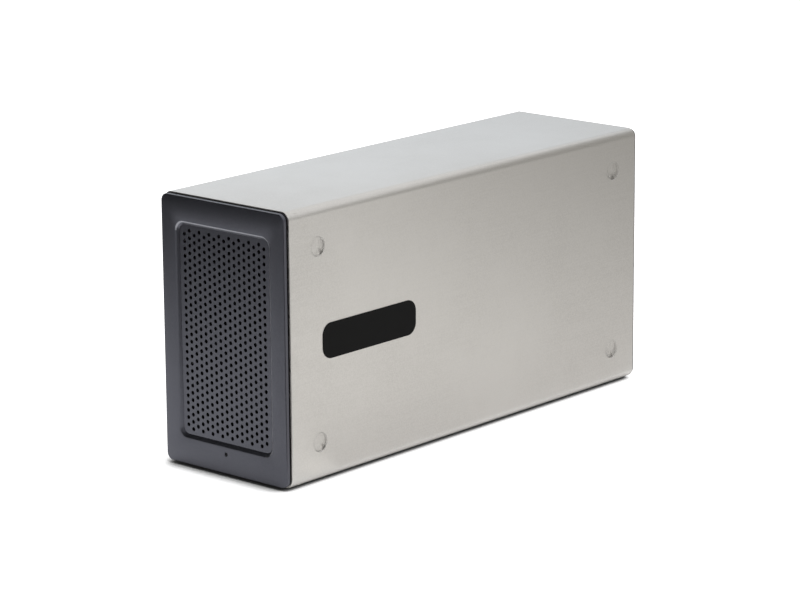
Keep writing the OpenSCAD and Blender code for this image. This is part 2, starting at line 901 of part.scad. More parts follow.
// Bracket of the fans: an upright plate with two round cut-outs and a foot on the tray
module fan_bracket() {
    plate_w = fan_w + 2 * fan_bracket_t;
    plate_top = fan_z(fan_count - 1) + fan_r;
    color(steel)
        difference() {
            union() {
                block(-plate_w / 2, fan_bracket_y, tray_top, plate_w, fan_bracket_t, plate_top - tray_top);
                block(-plate_w / 2, fan_bracket_y, tray_top, plate_w, fan_t, fan_bracket_t);
            }
            for (i = [0 : fan_count - 1]) {
                rod_y(0, fan_bracket_y - cut, fan_z(i), duct_d, fan_bracket_t + 2 * cut);
                for (sx = [-1, 1], sz = [-1, 1])
                    rod_y(sx * fan_pitch / 2, fan_bracket_y - cut, fan_z(i) + sz * fan_pitch / 2,
                          fan_hole_d + 2 * play, fan_bracket_t + 2 * cut);
            }
            fan_foot_places()
                rod_z(0, 0, tray_top - cut, screw_d + 2 * screw_gap, fan_bracket_t + 2 * cut);
        }
}

module bracket_screws() {
    color(steel)
        fan_foot_places()
            pan_screw_z(0, 0, tray_top + fan_bracket_t, screw_d, screw_head_d, screw_head_t,
                        fan_bracket_t + tray_t);
}

// Square fan frame: two flanges joined by a duct, with struts that carry the bearing at the back
module fan_frame(i) {
    color(black)
        translate([0, fan_y, fan_z(i)])
            difference() {
                union() {
                    difference() {
                        union() {
                            for (y = [0, fan_t - flange_t])
                                across(y, flange_t)
                                    rounded(fan_w, fan_w, flange_t);
                            across(0, fan_t)
                                intersection() {
                                    circle(d = duct_d + 1.1 * flange_t, $fn = 96);
                                    square(fan_w, center = true);
                                }
                        }
                        rod_y(0, -cut, 0, duct_d, fan_t + 2 * cut);
                    }
                    rod_y(0, fan_t - base_t, 0, hub_d, base_t);
                    for (a = [0 : 3])
                        rotate([0, 45 + 90 * a, 0])
                            block(hub_r * 0.9, fan_t - strut_t, -strut_w / 2,
                                  duct_d / 2 - hub_r * 0.9 + flange_t / 3, strut_t, strut_w);
                    rod_y(0, fan_t / 2, 0, 2.4 * shaft_d, fan_t / 2 - base_t + cut);
                }
                rod_y(0, fan_t / 2 - cut, 0, shaft_d + 2 * run_gap, fan_t / 2 - base_t / 2 + cut);
                for (sx = [-1, 1], sz = [-1, 1])
                    rod_y(sx * fan_pitch / 2, -cut, sz * fan_pitch / 2, fan_hole_d, fan_t + 2 * cut);
            }
}

module lower_fan_frame() {
    fan_frame(0);
}

module upper_fan_frame() {
    fan_frame(1);
}

module fan_screws() {
    color(black)
        for (i = [0 : fan_count - 1], sx = [-1, 1], sz = [-1, 1])
            pan_screw_y(sx * fan_pitch / 2, fan_bracket_y, fan_z(i) + sz * fan_pitch / 2,
                        fan_hole_d, 1.7 * fan_hole_d, fan_bracket_t * 0.6, fan_bracket_t + flange_t, -1);
}

module blade_section() {
    rotate(blade_pitch)
        intersection() {
            translate([0, -blade_r])
                difference() {
                    circle(blade_r + blade_t / 2);
                    circle(blade_r - blade_t / 2);
                }
            square([blade_chord, blade_chord], center = true);
        }
}

// Impeller: a cup with curved blades and a shaft that turns in the frame's bearing
module impeller(i) {
    cup_l = fan_t - base_t - hub_gap - fan_nose;
    root_r = root_share * hub_r;
    color([0.12, 0.12, 0.13])
        translate([0, fan_y, fan_z(i)]) {
            difference() {
                union() {
                    rod_y(0, fan_nose, 0, hub_d, cup_l);
                    intersection() {
                        union()
                            for (b = [0 : blade_count - 1])
                                rotate([0, 360 / blade_count * b, 0])
                                    translate([0, fan_nose + cup_l / 2, root_r])
                                        linear_extrude(tip_r)
                                            blade_section();
                        rod_y(0, 0, 0, 2 * tip_r, fan_t);
                    }
                }
                rod_y(0, fan_nose + cup_wall, 0, hub_d - 2 * cup_wall, cup_l);
            }
            rod_y(0, fan_nose + cup_wall / 2, 0, shaft_d, fan_t - base_t / 2 - fan_nose - cup_wall / 2 - hub_gap);
        }
}

module lower_impeller() {
    impeller(0);
}

module upper_impeller() {
    impeller(1);
}

module standoff_places() {
    for (x = [board_x0 + standoff_in, board_x1 - standoff_in],
         y = [board_y0 + standoff_in, bridge_y - screw_head_d, cap_y - standoff_in])
        translate([x, y, 0])
            children();
}

module standoffs() {
    color(steel)
        difference() {
            standoff_places()
                rod_z(0, 0, tray_top, standoff_d, standoff_h);
            standoff_places()
                rod_z(0, 0, tray_top - cut, screw_d, standoff_h + 2 * cut);
        }
}

module main_board() {
    color(board_green)
        difference() {
            translate([0, 0, board_z])
                linear_extrude(board_t)
                    polygon([[board_x0, board_y0], [board_x1, board_y0], [board_x1, board_y2],
                             [io_x0, board_y2], [io_x0, board_y1], [board_x0, board_y1]]);
            standoff_places()
                rod_z(0, 0, board_z - cut, board_hole_d, board_t + 2 * cut);
        }
}

module board_screws() {
    color(steel)
        standoff_places()
            pan_screw_z(0, 0, board_top, screw_d, screw_head_d, screw_head_t, screw_l);
}

// Connector with its groove, the key in it, and the two ears that carry the latch
module card_connector(i) {
    x = card_x(i);
    y0 = connector_y1 - connector_l;
    color([0.09, 0.09, 0.1])
        difference() {
            union() {
                block(x - connector_w / 2, y0, board_top, connector_w, connector_l, connector_h);
                for (s = [-1, 1])
                    block(x + s * (latch_w / 2 + latch_gap + latch_ear / 2) - latch_ear / 2,
                          y0 - latch_l - connector_end, board_top, latch_ear, latch_l + 2 * connector_end, latch_ear_h);
            }
            difference() {
                block(x - groove_w / 2, y0 - cut, board_top + connector_h - groove_h, groove_w,
                      connector_l - connector_end + cut, groove_h + cut);
                block(x - connector_w / 2, connector_y1 - connector_end - key_at - key_w, board_top,
                      connector_w, key_w, connector_h);
            }
            rod_x(x - connector_w, latch_y, latch_pivot_z, latch_pivot_d + 2 * run_gap, 2 * connector_w);
        }
}

module card_connector_1() {
    card_connector(0);
}

module card_connector_2() {
    card_connector(1);
}

// Latch that hooks over the front end of a card
module card_latch(i) {
    x = card_x(i);
    back = -latch_l / 2;
    color([0.15, 0.15, 0.17]) {
        rod_x(x - latch_w / 2 - latch_gap - latch_ear, latch_y, latch_pivot_z, latch_pivot_d,
              latch_w + 2 * latch_gap + 2 * latch_ear);
        along(x - latch_w / 2, latch_w)
            translate([latch_y, latch_pivot_z]) {
                circle(d = latch_l);
                translate([back, 0])
                    square([latch_l / 2, latch_h - latch_l]);
                translate([back, latch_h - latch_l - latch_hook_t])
                    square([latch_l, latch_hook_t]);
                translate([back - latch_nose, latch_h - latch_l - latch_tip_t])
                    square([latch_l, latch_tip_t]);
            }
    }
}

module card_latch_1() {
    card_latch(0);
}

module card_latch_2() {
    card_latch(1);
}

// A finned heatsink on a chip, with its fins along the airflow
module heatsink(y, l, h) {
    die_w = min(heatsink_w, l) / 2;
    translate([heatsink_x, y, board_top]) {
        block(0, 0, chip_t, heatsink_w, l, heatsink_base);
        for (f = [0 : fin_count - 1])
            block(f * (heatsink_w - fin_t) / (fin_count - 1), 0, chip_t, fin_t, l, h - chip_t);
        block((heatsink_w - die_w) / 2, (l - die_w) / 2, 0, die_w, die_w, chip_t + heatsink_base / 2);
    }
}

module controller_heatsink() {
    color(black)
        heatsink(controller_y, controller_l, controller_h);
}

module bridge_heatsink() {
    color(steel)
        heatsink(bridge_y, bridge_l, bridge_h);
}

module coils() {
    color([0.3, 0.3, 0.32])
        for (k = [0 : coil_count - 1])
            block(coil_x + k * (coil_w + coil_gap), coil_y, board_top, coil_w, coil_w, coil_h);
}

module capacitors() {
    color([0.7, 0.7, 0.72])
        for (k = [0 : cap_count - 1])
            rod_z(cap_x + k * (cap_d + cap_gap), cap_y, board_top, cap_d, cap_h);
}

module board_chips() {
    color([0.08, 0.08, 0.09])
        for (row = [0 : chip_rows - 1], k = [0, 1])
            block(heatsink_x + k * (heatsink_w - chip_w), board_y0 + chip_front + row * chip_row_gap, board_top,
                  chip_w, chip_w, chip_t);
}

module usb_c_ports() {
    y0 = rear_y - port_in - port_l;
    color([0.72, 0.72, 0.74])
        for (x = port_places)
            translate([x, 0, port_z])
                difference() {
                    across(y0, port_l)
                        rounded(port_w, port_h, port_r);
                    across(y0 + port_shell_back, port_l)
                        difference() {
                            rounded(port_w - 2 * port_wall, port_h - 2 * port_wall, port_r - port_wall);
                            square([port_w - 8 * port_wall, port_tongue_t], center = true);
                        }
                }
}

module power_jack() {
    color(black) {
        difference() {
            union() {
                block(jack_x - jack_w / 2, panel_y - jack_l, board_top, jack_w, jack_l - play, jack_h);
                rod_y(jack_x, panel_y - jack_step, jack_z, jack_nose_d, jack_step + panel_t - play);
            }
            rod_y(jack_x, rear_y - jack_l * 0.7, jack_z, jack_bore_d, jack_l);
        }
        rod_y(jack_x, rear_y - jack_l * 0.8, jack_z, jack_pin_d, jack_l * 0.8 - jack_step);
    }
}

module fan_headers() {
    color([0.9, 0.88, 0.82])
        for (k = [0 : fan_count - 1])
            translate([cable_x(k) - header_w / 2, header_y, board_top])
                difference() {
                    block(0, 0, 0, header_w, header_l, header_h);
                    block(header_wall, header_wall, header_floor, header_w - 2 * header_wall,
                          header_l - 2 * header_wall, header_h);
                }
}

// A cable from the back of a fan, over a bend and down to its plug in a header
module fan_cable(x, z) {
    back_y = fan_y + fan_t;
    plug_z = board_top + header_floor;
    translate([x, 0, z]) {
        rod_y(0, back_y, 0, cable_d, cable_y - cable_bend - back_y);
        translate([0, cable_y - cable_bend, -cable_bend])
            rotate([90, 0, 90])
                rotate_extrude(angle = 90)
                    translate([cable_bend, 0])
                        circle(d = cable_d, $fn = 24);
    }
    rod_z(x, cable_y, plug_z + plug_h - cable_d / 2, cable_d, z - cable_bend - plug_z - plug_h + cable_d / 2);
    block(x - plug_w / 2, cable_y - plug_l / 2, plug_z, plug_w, plug_l, plug_h);
}

module fan_cables() {
    color(black) {
        fan_cable(cable_x(0), fan_z(0) - hub_r / 2 + cable_d / 2);
        fan_cable(cable_x(1), fan_z(1) - cable_x(1));
    }
}

module light_board() {
    color(board_green)
        block(-light_board_w / 2, light_board_y, light_z - light_board_h / 2,
              light_board_w, light_board_t, light_board_h);
}

module status_light() {
    color([0.9, 0.95, 1])
        block(-emitter_w / 2, light_board_y - emitter_t, light_z - emitter_t / 2, emitter_w, emitter_t, emitter_t);
}

// Thumbscrew with a straight knurl, a driver slot and a plain tip that stands for the thread
module thumbscrew(s) {
    knurl_d = thumb_d * 0.08;
    color(steel)
        translate([s * thumb_x, 0, thumb_z])
            difference() {
                union() {
                    rod_y(0, rear_y, 0, thumb_d, thumb_l);
                    rod_y(0, lug_y - tip_l, 0, thread_d, rear_y - lug_y + tip_l + cut);
                }
                for (k = [0 : knurls - 1])
                    rotate([0, 360 / knurls * k, 0])
                        rod_y(thumb_d / 2, rear_y + thumb_l * 0.15, 0, knurl_d, thumb_l * 0.7);
                block(-thumb_d, rear_y + thumb_l * 0.78, -slot_cut_w / 2, 2 * thumb_d, thumb_l, slot_cut_w);
            }
}

module retaining_ring(s) {
    color(steel)
        translate([s * thumb_x, 0, thumb_z])
            difference() {
                rod_y(0, ring_y, 0, ring_d, ring_t);
                rod_y(0, ring_y - cut, 0, thread_d + 2 * run_gap, ring_t + 2 * cut);
            }
}

module left_thumbscrew() {
    thumbscrew(-1);
}

module left_ring() {
    retaining_ring(-1);
}

module right_thumbscrew() {
    thumbscrew(1);
}

module right_ring() {
    retaining_ring(1);
}

sleeve();
bezel();
grille();
front_frame();
bezel_screws();
light_pipe();
side_badge();
base_pads();
side_pads();
tray_floor();
rear_panel();
panel_screws();
slot_frame();
frame_rivets();
slot_cover_1();
slot_cover_2();
cover_screws();
fan_bracket();
bracket_screws();
lower_fan_frame();
upper_fan_frame();
fan_screws();
lower_impeller();
upper_impeller();
standoffs();
main_board();
board_screws();
card_connector_1();
card_connector_2();
card_latch_1();
card_latch_2();
controller_heatsink();
bridge_heatsink();
coils();
capacitors();
board_chips();
usb_c_ports();
power_jack();
fan_headers();
fan_cables();
light_board();
status_light();
left_thumbscrew();
left_ring();
right_thumbscrew();
right_ring();
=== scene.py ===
"""Looks of a desktop expansion chassis for two cards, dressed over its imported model.

Each class under Sub-assemblies dresses one of them. Lengths are in metres, and places come from the frame's
own boxes.
"""

import logging
import math
from dataclasses import dataclass
from enum import Enum
from typing import Callable, Iterable, Sequence

import bmesh
import bpy
from mathutils import Matrix, Vector


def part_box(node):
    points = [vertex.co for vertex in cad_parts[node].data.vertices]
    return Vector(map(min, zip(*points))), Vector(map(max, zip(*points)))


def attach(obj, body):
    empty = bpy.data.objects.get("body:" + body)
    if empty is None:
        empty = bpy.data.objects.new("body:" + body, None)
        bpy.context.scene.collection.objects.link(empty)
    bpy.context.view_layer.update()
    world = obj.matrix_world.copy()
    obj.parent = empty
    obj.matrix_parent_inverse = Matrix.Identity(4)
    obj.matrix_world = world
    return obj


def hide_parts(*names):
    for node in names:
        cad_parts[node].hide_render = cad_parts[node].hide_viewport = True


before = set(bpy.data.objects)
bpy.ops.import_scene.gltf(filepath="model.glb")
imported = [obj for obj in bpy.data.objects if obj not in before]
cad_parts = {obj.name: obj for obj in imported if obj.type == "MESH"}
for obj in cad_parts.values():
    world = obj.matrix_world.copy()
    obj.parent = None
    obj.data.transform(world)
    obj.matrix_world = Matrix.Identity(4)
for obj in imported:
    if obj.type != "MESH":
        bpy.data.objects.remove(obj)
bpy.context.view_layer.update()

MM = 0.001
SHARP_DEGREES = 32.0
WELD = 0.0005 * MM
CORNER_STEPS = 14
BUMP_STRENGTH = 0.6
# Painted shade and painted highlight (glint) of the side pads' rims, kept on their vertices for their finish
# to read
SHADE = "painted_rim_shade"
GLINT = "painted_rim_glint"
LOG = logging.getLogger("chassis")
Mesh = bmesh.types.BMesh
Socket = bpy.types.NodeSocket
Material = bpy.types.Material
Colour = tuple[float, float, float]
WHITE: Colour = (1.0, 1.0, 1.0)
UP = (0, 0, 1)


class Axis(Enum):
    """Direction that a turned piece points along."""

    X = "X"
    Y = "Y"
    Z = "Z"


# Wiring of shader nodes


class Wiring:
    """Adds nodes to a shader tree and joins them."""

    def __init__(self, tree: bpy.types.NodeTree) -> None:
        """Takes the tree that is wired.

        Args:
            tree: A material's, world's or group's node tree.
        """
        self.tree = tree

    def put(self, kind: str, inputs: dict | None = None, **settings: object) -> bpy.types.Node:
        """Adds one node.

        Args:
            kind: The node's class name without its Shader prefix.
            inputs: Values or sockets for its inputs, by name or number.
            settings: Attributes that are set on the node.

        Returns:
            The new node.
        """
        node = self.tree.nodes.new(kind if kind.startswith("Node") else "ShaderNode" + kind)
        for name, value in settings.items():
            setattr(node, name, value)
        for name, value in (inputs or {}).items():
            self.feed(node.inputs[name], value)
        return node

    def feed(self, socket: Socket, value: object) -> None:
        """Sets a socket to a constant, or joins another socket to it."""
        if isinstance(value, Socket):
            self.tree.links.new(value, socket)
        elif isinstance(value, tuple) and len(value) == 3 and socket.type == "RGBA":
            socket.default_value = (*value, 1.0)
        else:
            socket.default_value = value

    def show(self, shader: bpy.types.Node, output: str = "OutputMaterial") -> None:
        """Joins a shader to a new output node."""
        self.feed(self.put(output).inputs[0], shader.outputs[0])

    def math(self, operation: str, first: object, second: object) -> Socket:
        """Joins two values by one operation and returns the result's socket."""
        return self.put("Math", {0: first, 1: second}, operation=operation).outputs[0]

    def blend(self, share: object, first: object, second: object) -> Socket:
        """Mixes two colours and returns the result's socket."""
        node = self.put("Mix", data_type="RGBA")
        self.feed(node.inputs[0], share)
        self.feed(node.inputs[6], first)
        self.feed(node.inputs[7], second)
        return node.outputs[2]

    def ramp(self, value: object, low: float, high: float) -> Socket:
        """Spreads a value from low to high over zero to one, clamped."""
        return self.put("MapRange", {0: value, 1: low, 2: high}, clamp=True).outputs[0]

    def noise(self, vector: object, scale: object, detail: float = 3.0,
              rough: float = 0.5) -> Socket:
        """Returns the value socket of a noise pattern."""
        inputs = {"Vector": vector, "Scale": scale, "Detail": detail, "Roughness": rough}
        return self.put("TexNoise", inputs).outputs[0]

    def stretched(self, vector: object, scale: tuple[float, float, float]) -> Socket:
        """Returns coordinates that are stretched along their axes."""
        return self.put("Mapping", {"Vector": vector, "Scale": Vector(scale)}).outputs[0]


def start(owner: Material | bpy.types.World) -> Wiring:
    """Empties the node tree of a material or a world and returns its wiring."""
    owner.use_nodes = True
    owner.node_tree.nodes.clear()
    return Wiring(owner.node_tree)


class Group:
    """A shared effect with named inputs and outputs, built once."""

    built: dict[str, bpy.types.NodeTree] = {}

    def __init__(self, name: str, inputs: dict[str, float], outputs: Sequence[str],
                 wire: Callable[[Wiring, object], dict]) -> None:
        """Builds the group.

        Args:
            name: The effect's name.
            inputs: Names and defaults of its number inputs. A vector input named Place comes first.
            outputs: Names of its value outputs.
            wire: Wires the inside and returns a socket for each output.
        """
        tree = bpy.data.node_groups.new(name, "ShaderNodeTree")
        tree.interface.new_socket("Place", in_out="INPUT", socket_type="NodeSocketVector")
        for key, value in inputs.items():
            socket = tree.interface.new_socket(key, in_out="INPUT", socket_type="NodeSocketFloat")
            socket.default_value = value
        for key in outputs:
            tree.interface.new_socket(key, in_out="OUTPUT", socket_type="NodeSocketFloat")
        wiring = Wiring(tree)
        entry = wiring.put("NodeGroupInput")
        exit_node = wiring.put("NodeGroupOutput")
        for key, socket in wire(wiring, entry.outputs).items():
            tree.links.new(socket, exit_node.inputs[key])
        Group.built[name] = tree

    @staticmethod
    def use(wiring: Wiring, name: str, place: object, **values: float) -> Sequence[Socket]:
        """Places a group in a material and returns its outputs."""
        node = wiring.put("Group")
        node.node_tree = Group.built[name]
        wiring.feed(node.inputs["Place"], place)
        for key, value in values.items():
            wiring.feed(node.inputs[key], value)
        return node.outputs


def wire_blast(w: Wiring, entry: object) -> dict:
    """Fine blasted grain with faint drawn streaks along the sheet."""
    place, scale, detail, rough = entry["Place"], entry["Scale"], 2.0, 0.6
    grains = w.noise(place, scale, detail, rough)
    drawn = w.noise(w.stretched(place, (1.0, 0.02, 1.0)), scale, detail, rough)
    height = w.math("ADD", grains, w.math("MULTIPLY", w.math("SUBTRACT", drawn, 0.5), entry["Streaks"]))
    return {"Height": height, "Mask": w.ramp(height, 0.35, 0.65)}


def wire_handling(w: Wiring, entry: object) -> dict:
    """Broad soft patches, as handling and wiping leave them."""
    broad = w.noise(entry["Place"], 9.0, 2.0)
    fine = w.noise(entry["Place"], 60.0, 4.0, 0.6)
    both = w.math("ADD", w.math("MULTIPLY", broad, 0.7), w.math("MULTIPLY", fine, 0.3))
    return {"Mask": w.ramp(both, 0.35, 0.65)}


def wire_stipple(w: Wiring, entry: object) -> dict:
    """Fine orange-peel stipple of a powder coat or a moulding tool."""
    place, scale = entry["Place"], entry["Scale"]
    cells = w.put("TexVoronoi", {"Vector": place, "Scale": scale}, feature="SMOOTH_F1").outputs[0]
    cloud = w.noise(place, scale)
    return {"Height": w.math("ADD", cells, cloud), "Mask": w.ramp(cloud, 0.3, 0.7)}


def wire_traces(w: Wiring, entry: object) -> dict:
    """Copper tracks and round pads under a board's solder mask."""
    place = entry["Place"]
    rows, across = (w.put("TexWave", {"Vector": place, "Scale": scale, "Distortion": 0.0},
                          bands_direction=direction).outputs["Fac"]
                    for scale, direction in ((160.0, "X"), (130.0, "Y")))
    fields = w.put("TexVoronoi", {"Vector": place, "Scale": 70.0}, distance="CHEBYCHEV").outputs["Color"]
    pick = w.put("SeparateColor", {0: fields}).outputs
    lines = w.put("Mix", {0: w.ramp(pick[0], 0.48, 0.52), 2: rows, 3: across}).outputs[0]
    tracks = w.math("MULTIPLY", w.ramp(lines, 0.55, 0.75), w.ramp(pick[1], 0.35, 0.4))
    vias = w.put("TexVoronoi", {"Vector": place, "Scale": 260.0, "Randomness": 0.6}).outputs["Distance"]
    dots = w.math("MULTIPLY", w.math("LESS_THAN", vias, 0.16), w.math("GREATER_THAN", pick[2], 0.6))
    return {"Tracks": tracks, "Pads": dots}


def build_groups() -> None:
    """Builds the effects that several finishes share."""
    Group("Blast", {"Scale": 900.0, "Streaks": 0.3}, ["Height", "Mask"], wire_blast)
    Group("Handling", {}, ["Mask"], wire_handling)
    Group("Stipple", {"Scale": 1500.0}, ["Height", "Mask"], wire_stipple)
    Group("Traces", {}, ["Tracks", "Pads"], wire_traces)


# Finishes


@dataclass(frozen=True)
class Finish:
    """A material on a Principled surface, with fine structure from the shared groups.

    Attributes:
        name: Material name.
        colour: Linear base colour.
        colour_low: Colour of the darker or duller places.
        roughness: Roughness of the clean places.
        roughness_spread: How much the structure changes the roughness.
        metallic: One for bare metal.
        bump: Depth of the fine structure in metres.
        structure: Name of the group that gives the structure.
        scale: Scale of that structure.
        edge: Radius to which the edges are rounded in shading, or zero.
        specular: Specular level.
    """

    name: str
    colour: Colour
    colour_low: Colour
    roughness: float
    roughness_spread: float = 0.06
    metallic: float = 0.0
    bump: float = 0.00002
    structure: str = "Stipple"
    scale: float = 1500.0
    edge: float = 0.0
    specular: float = 0.5

    def build(self) -> Material:
        """Builds the material.

        Returns:
            The material, ready for a slot.
        """
        material = bpy.data.materials.new(self.name)
        w = start(material)
        place = w.put("TexCoord").outputs["Object"]
        detail = Group.use(w, self.structure, place, Scale=self.scale)
        patches = Group.use(w, "Handling", place)["Mask"]
        low = w.math("MULTIPLY", detail["Mask"], patches)
        surface = w.put("BsdfPrincipled", {"Metallic": self.metallic, "Specular IOR Level": self.specular,
                                           "Base Color": w.blend(low, self.colour, self.colour_low)})
        spread = w.math("MULTIPLY", w.math("ADD", detail["Mask"], patches), self.roughness_spread)
        w.feed(surface.inputs["Roughness"], w.math("ADD", spread, self.roughness))
        bump = w.put("Bump", {"Height": detail["Height"], "Distance": self.bump, "Strength": BUMP_STRENGTH})
        if self.edge:
            w.feed(bump.inputs["Normal"], w.put("Bevel", {"Radius": self.edge}, samples=4).outputs[0])
        w.feed(surface.inputs["Normal"], bump.outputs[0])
        w.show(surface)
        return material


@dataclass(frozen=True)
class BoardFinish:
    """Solder mask over copper tracks, with bare pads.

    Attributes:
        name: Material name.
        mask: Linear colour over the bare board.
        over_copper: Colour over the tracks.
        bare: Colour of the pads.
        roughness: Roughness of the clean places.
        roughness_spread: How much handling changes it.
        coat: Weight of the mask's clear coat.
        relief: Height of the tracks in metres.
    """

    name: str
    mask: Colour = (0.006, 0.035, 0.02)
    over_copper: Colour = (0.012, 0.075, 0.035)
    bare: Colour = (0.75, 0.55, 0.25)
    roughness: float = 0.3
    roughness_spread: float = 0.08
    coat: float = 0.3
    relief: float = 0.03 * MM

    def build(self) -> Material:
        """Builds the material and returns it."""
        material = bpy.data.materials.new(self.name)
        w = start(material)
        place = w.put("TexCoord").outputs["Object"]
        traces = Group.use(w, "Traces", place)
        patches = Group.use(w, "Handling", place)["Mask"]
        tracks = w.blend(traces["Tracks"], self.mask, self.over_copper)
        surface = w.put("BsdfPrincipled", {"Base Color": w.blend(traces["Pads"], tracks, self.bare),
                                           "Metallic": traces["Pads"], "Coat Weight": self.coat})
        spread = w.math("MULTIPLY", patches, self.roughness_spread)
        w.feed(surface.inputs["Roughness"], w.math("ADD", spread, self.roughness))
        bump = w.put("Bump", {"Height": traces["Tracks"], "Distance": self.relief, "Strength": BUMP_STRENGTH})
        w.feed(surface.inputs["Normal"], bump.outputs[0])
        w.show(surface)
        return material


@dataclass(frozen=True)
class ClearFinish:
    """Clear plastic that shows only as far as its face hides what is behind it, and at its rim's painted
    shade and painted highlight.

    The rim's painted shade and painted highlight (glint) are read from the piece's vertices; they stand in
    for light bent through the clear plastic. A piece without them shows its face alone.

    Attributes:
        name: Material name.
        near: Linear colour of the face and of the painted highlight.
        far: Linear colour of the painted shade.
        face: Share of the flat face that hides what is behind it.
        near_rim: The same share in the painted highlight.
        far_rim: The same share in the painted shade.
        roughness: Roughness of the surface.
        specular: Specular level.
        roughness_spread: How much handling changes the roughness.
        bending: Index of refraction.
    """

    name: str
    near: Colour = (0.80, 0.79, 0.77)
    far: Colour = (0.06, 0.06, 0.06)
    face: float = 0.0
    near_rim: float = 0.8
    far_rim: float = 0.8
    roughness: float = 0.12
    specular: float = 0.5
    roughness_spread: float = 0.06
    bending: float = 1.45

    def build(self) -> Material:
        """Builds the material and returns it."""
        material = bpy.data.materials.new(self.name)
        w = start(material)
        place = w.put("TexCoord").outputs["Object"]
        patches = Group.use(w, "Handling", place)["Mask"]
        # Painted shade and painted highlight of the rim, read from the vertices
        shade, glint = (w.put("Attribute", attribute_name=name).outputs["Fac"] for name in (SHADE, GLINT))
        colour = w.blend(glint, w.blend(shade, self.near, self.far), self.near)
        surface = w.put("BsdfPrincipled", {"Base Color": colour, "IOR": self.bending,
                                           "Specular IOR Level": self.specular})
        spread = w.math("MULTIPLY", patches, self.roughness_spread)
        w.feed(surface.inputs["Roughness"], w.math("ADD", spread, self.roughness))
        dark, light = w.math("MULTIPLY", shade, self.far_rim), w.math("MULTIPLY", glint, self.near_rim)
        rim = w.math("MULTIPLY", w.math("MAXIMUM", dark, light), 1.0 - self.face)
        w.feed(surface.inputs["Alpha"], w.math("ADD", rim, self.face))
        w.show(surface)
        return material


class Finishes:
    """The materials of the chassis, each built once."""

    RECIPES: tuple[object, ...] = (
        Finish("satin_shell", (0.66, 0.645, 0.62), (0.60, 0.585, 0.56),
               0.36, 0.05, 1.0, 0.000012, "Blast", 1400.0),
        Finish("graphite_coat", (0.110, 0.112, 0.131), (0.098, 0.100, 0.118),
               0.33, 0.05, 0.9, 0.00001, edge=0.00015),
        # Brighter graphite on the recess rim's upper and right flanks only: a painted highlight
        Finish("graphite_painted_highlight", (0.27, 0.275, 0.30), (0.235, 0.24, 0.265), 0.28, 0.05, 0.95, 0.000005),
        Finish("black_coat", (0.012, 0.012, 0.013), (0.009, 0.009, 0.010),
               0.42, 0.06, 0.0, 0.00002, edge=0.0002),
        Finish("zinc_sheet", (0.58, 0.59, 0.60), (0.47, 0.48, 0.50),
               0.30, 0.08, 1.0, 0.00001, "Blast", 500.0, 0.0002),
        # Zinc darkened for the fan bracket: painted shade for the dark seen behind the grille's holes
        Finish("zinc_painted_shade", (0.045, 0.046, 0.05), (0.032, 0.033, 0.036),
               0.40, 0.08, 0.8, 0.00001, "Blast", 500.0, 0.0002),
        Finish("screw_steel", (0.60, 0.60, 0.60), (0.45, 0.45, 0.46),
               0.24, 0.08, 1.0, 0.00001, "Blast", 900.0, 0.0001),
        Finish("black_moulding", (0.014, 0.014, 0.015), (0.010, 0.010, 0.011),
               0.46, 0.08, 0.0, 0.00003, edge=0.0002),
        Finish("badge_film", (0.008, 0.008, 0.008), (0.006, 0.006, 0.006),
               0.35, 0.04, 0.0, 0.00001, specular=0.06),
        Finish("connector_plastic", (0.011, 0.011, 0.012), (0.008, 0.008, 0.009), 0.38, 0.06, edge=0.00015),
        Finish("header_plastic", (0.72, 0.68, 0.57), (0.62, 0.58, 0.48), 0.40, 0.06, edge=0.00015),
        Finish("bright_nickel", (0.66, 0.64, 0.60), (0.55, 0.53, 0.50),
               0.16, 0.06, 1.0, 0.000005, "Blast", 900.0, 0.0001),
        Finish("black_anodised", (0.02, 0.02, 0.022), (0.014, 0.014, 0.016),
               0.36, 0.06, 0.4, 0.00001, "Blast", 900.0, 0.0001),
        Finish("plain_fins", (0.60, 0.60, 0.61), (0.5, 0.5, 0.51),
               0.32, 0.06, 1.0, 0.00001, "Blast", 900.0, 0.0001),
        Finish("can_aluminium", (0.68, 0.68, 0.69), (0.6, 0.6, 0.61),
               0.26, 0.06, 1.0, 0.00001, "Blast", 900.0, 0.0003),
        Finish("ferrite", (0.05, 0.05, 0.053), (0.035, 0.035, 0.037), 0.55, 0.08, edge=0.0003),
        Finish("cable_sheath", (0.012, 0.012, 0.013), (0.009, 0.009, 0.010),
               0.5, 0.1, bump=0.00004, scale=700.0),
        Finish("lamp_lens", (0.85, 0.87, 0.9), (0.8, 0.82, 0.85), 0.2, 0.04),
        BoardFinish("board_mask"),
        ClearFinish("clear_pad"),
        # The light pipe's rod: near-black and mostly opaque, a painted shade for the dark seen through the
        # clear rod
        ClearFinish("clear_rod", (0.012, 0.012, 0.013), (0.01, 0.01, 0.011), 0.85, 0.9, 0.9, 0.05, 0.1),
    )

    def __init__(self) -> None:
        """Builds every material."""
        self.made = {recipe.name: recipe.build() for recipe in self.RECIPES}

    def dress(self, piece: bpy.types.Object, name: str) -> None:
        """Gives a piece one material in all its slots."""
        material = self.made[name]
        if not piece.data.materials:
            piece.data.materials.append(material)
        for index in range(len(piece.data.materials)):
            piece.data.materials[index] = material

    def dress_nodes(self, name: str, nodes: Iterable[str]) -> None:
        """Gives one material to several carried-over nodes."""
        for node in nodes:
            self.dress(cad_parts[node], name)
            LOG.info("node %s: %s", node, name)


# Modelling helpers


@dataclass(frozen=True)
class Ring:
    """A rounded rectangle that stands across Y.

    Attributes:
        width: Its size along X.
        height: Its size along Z.
        radius: Its corner radius.
        at: Its place along Y.
        centre_z: Height of its middle.
    """

    width: float
    height: float
    radius: float
    at: float
    centre_z: float


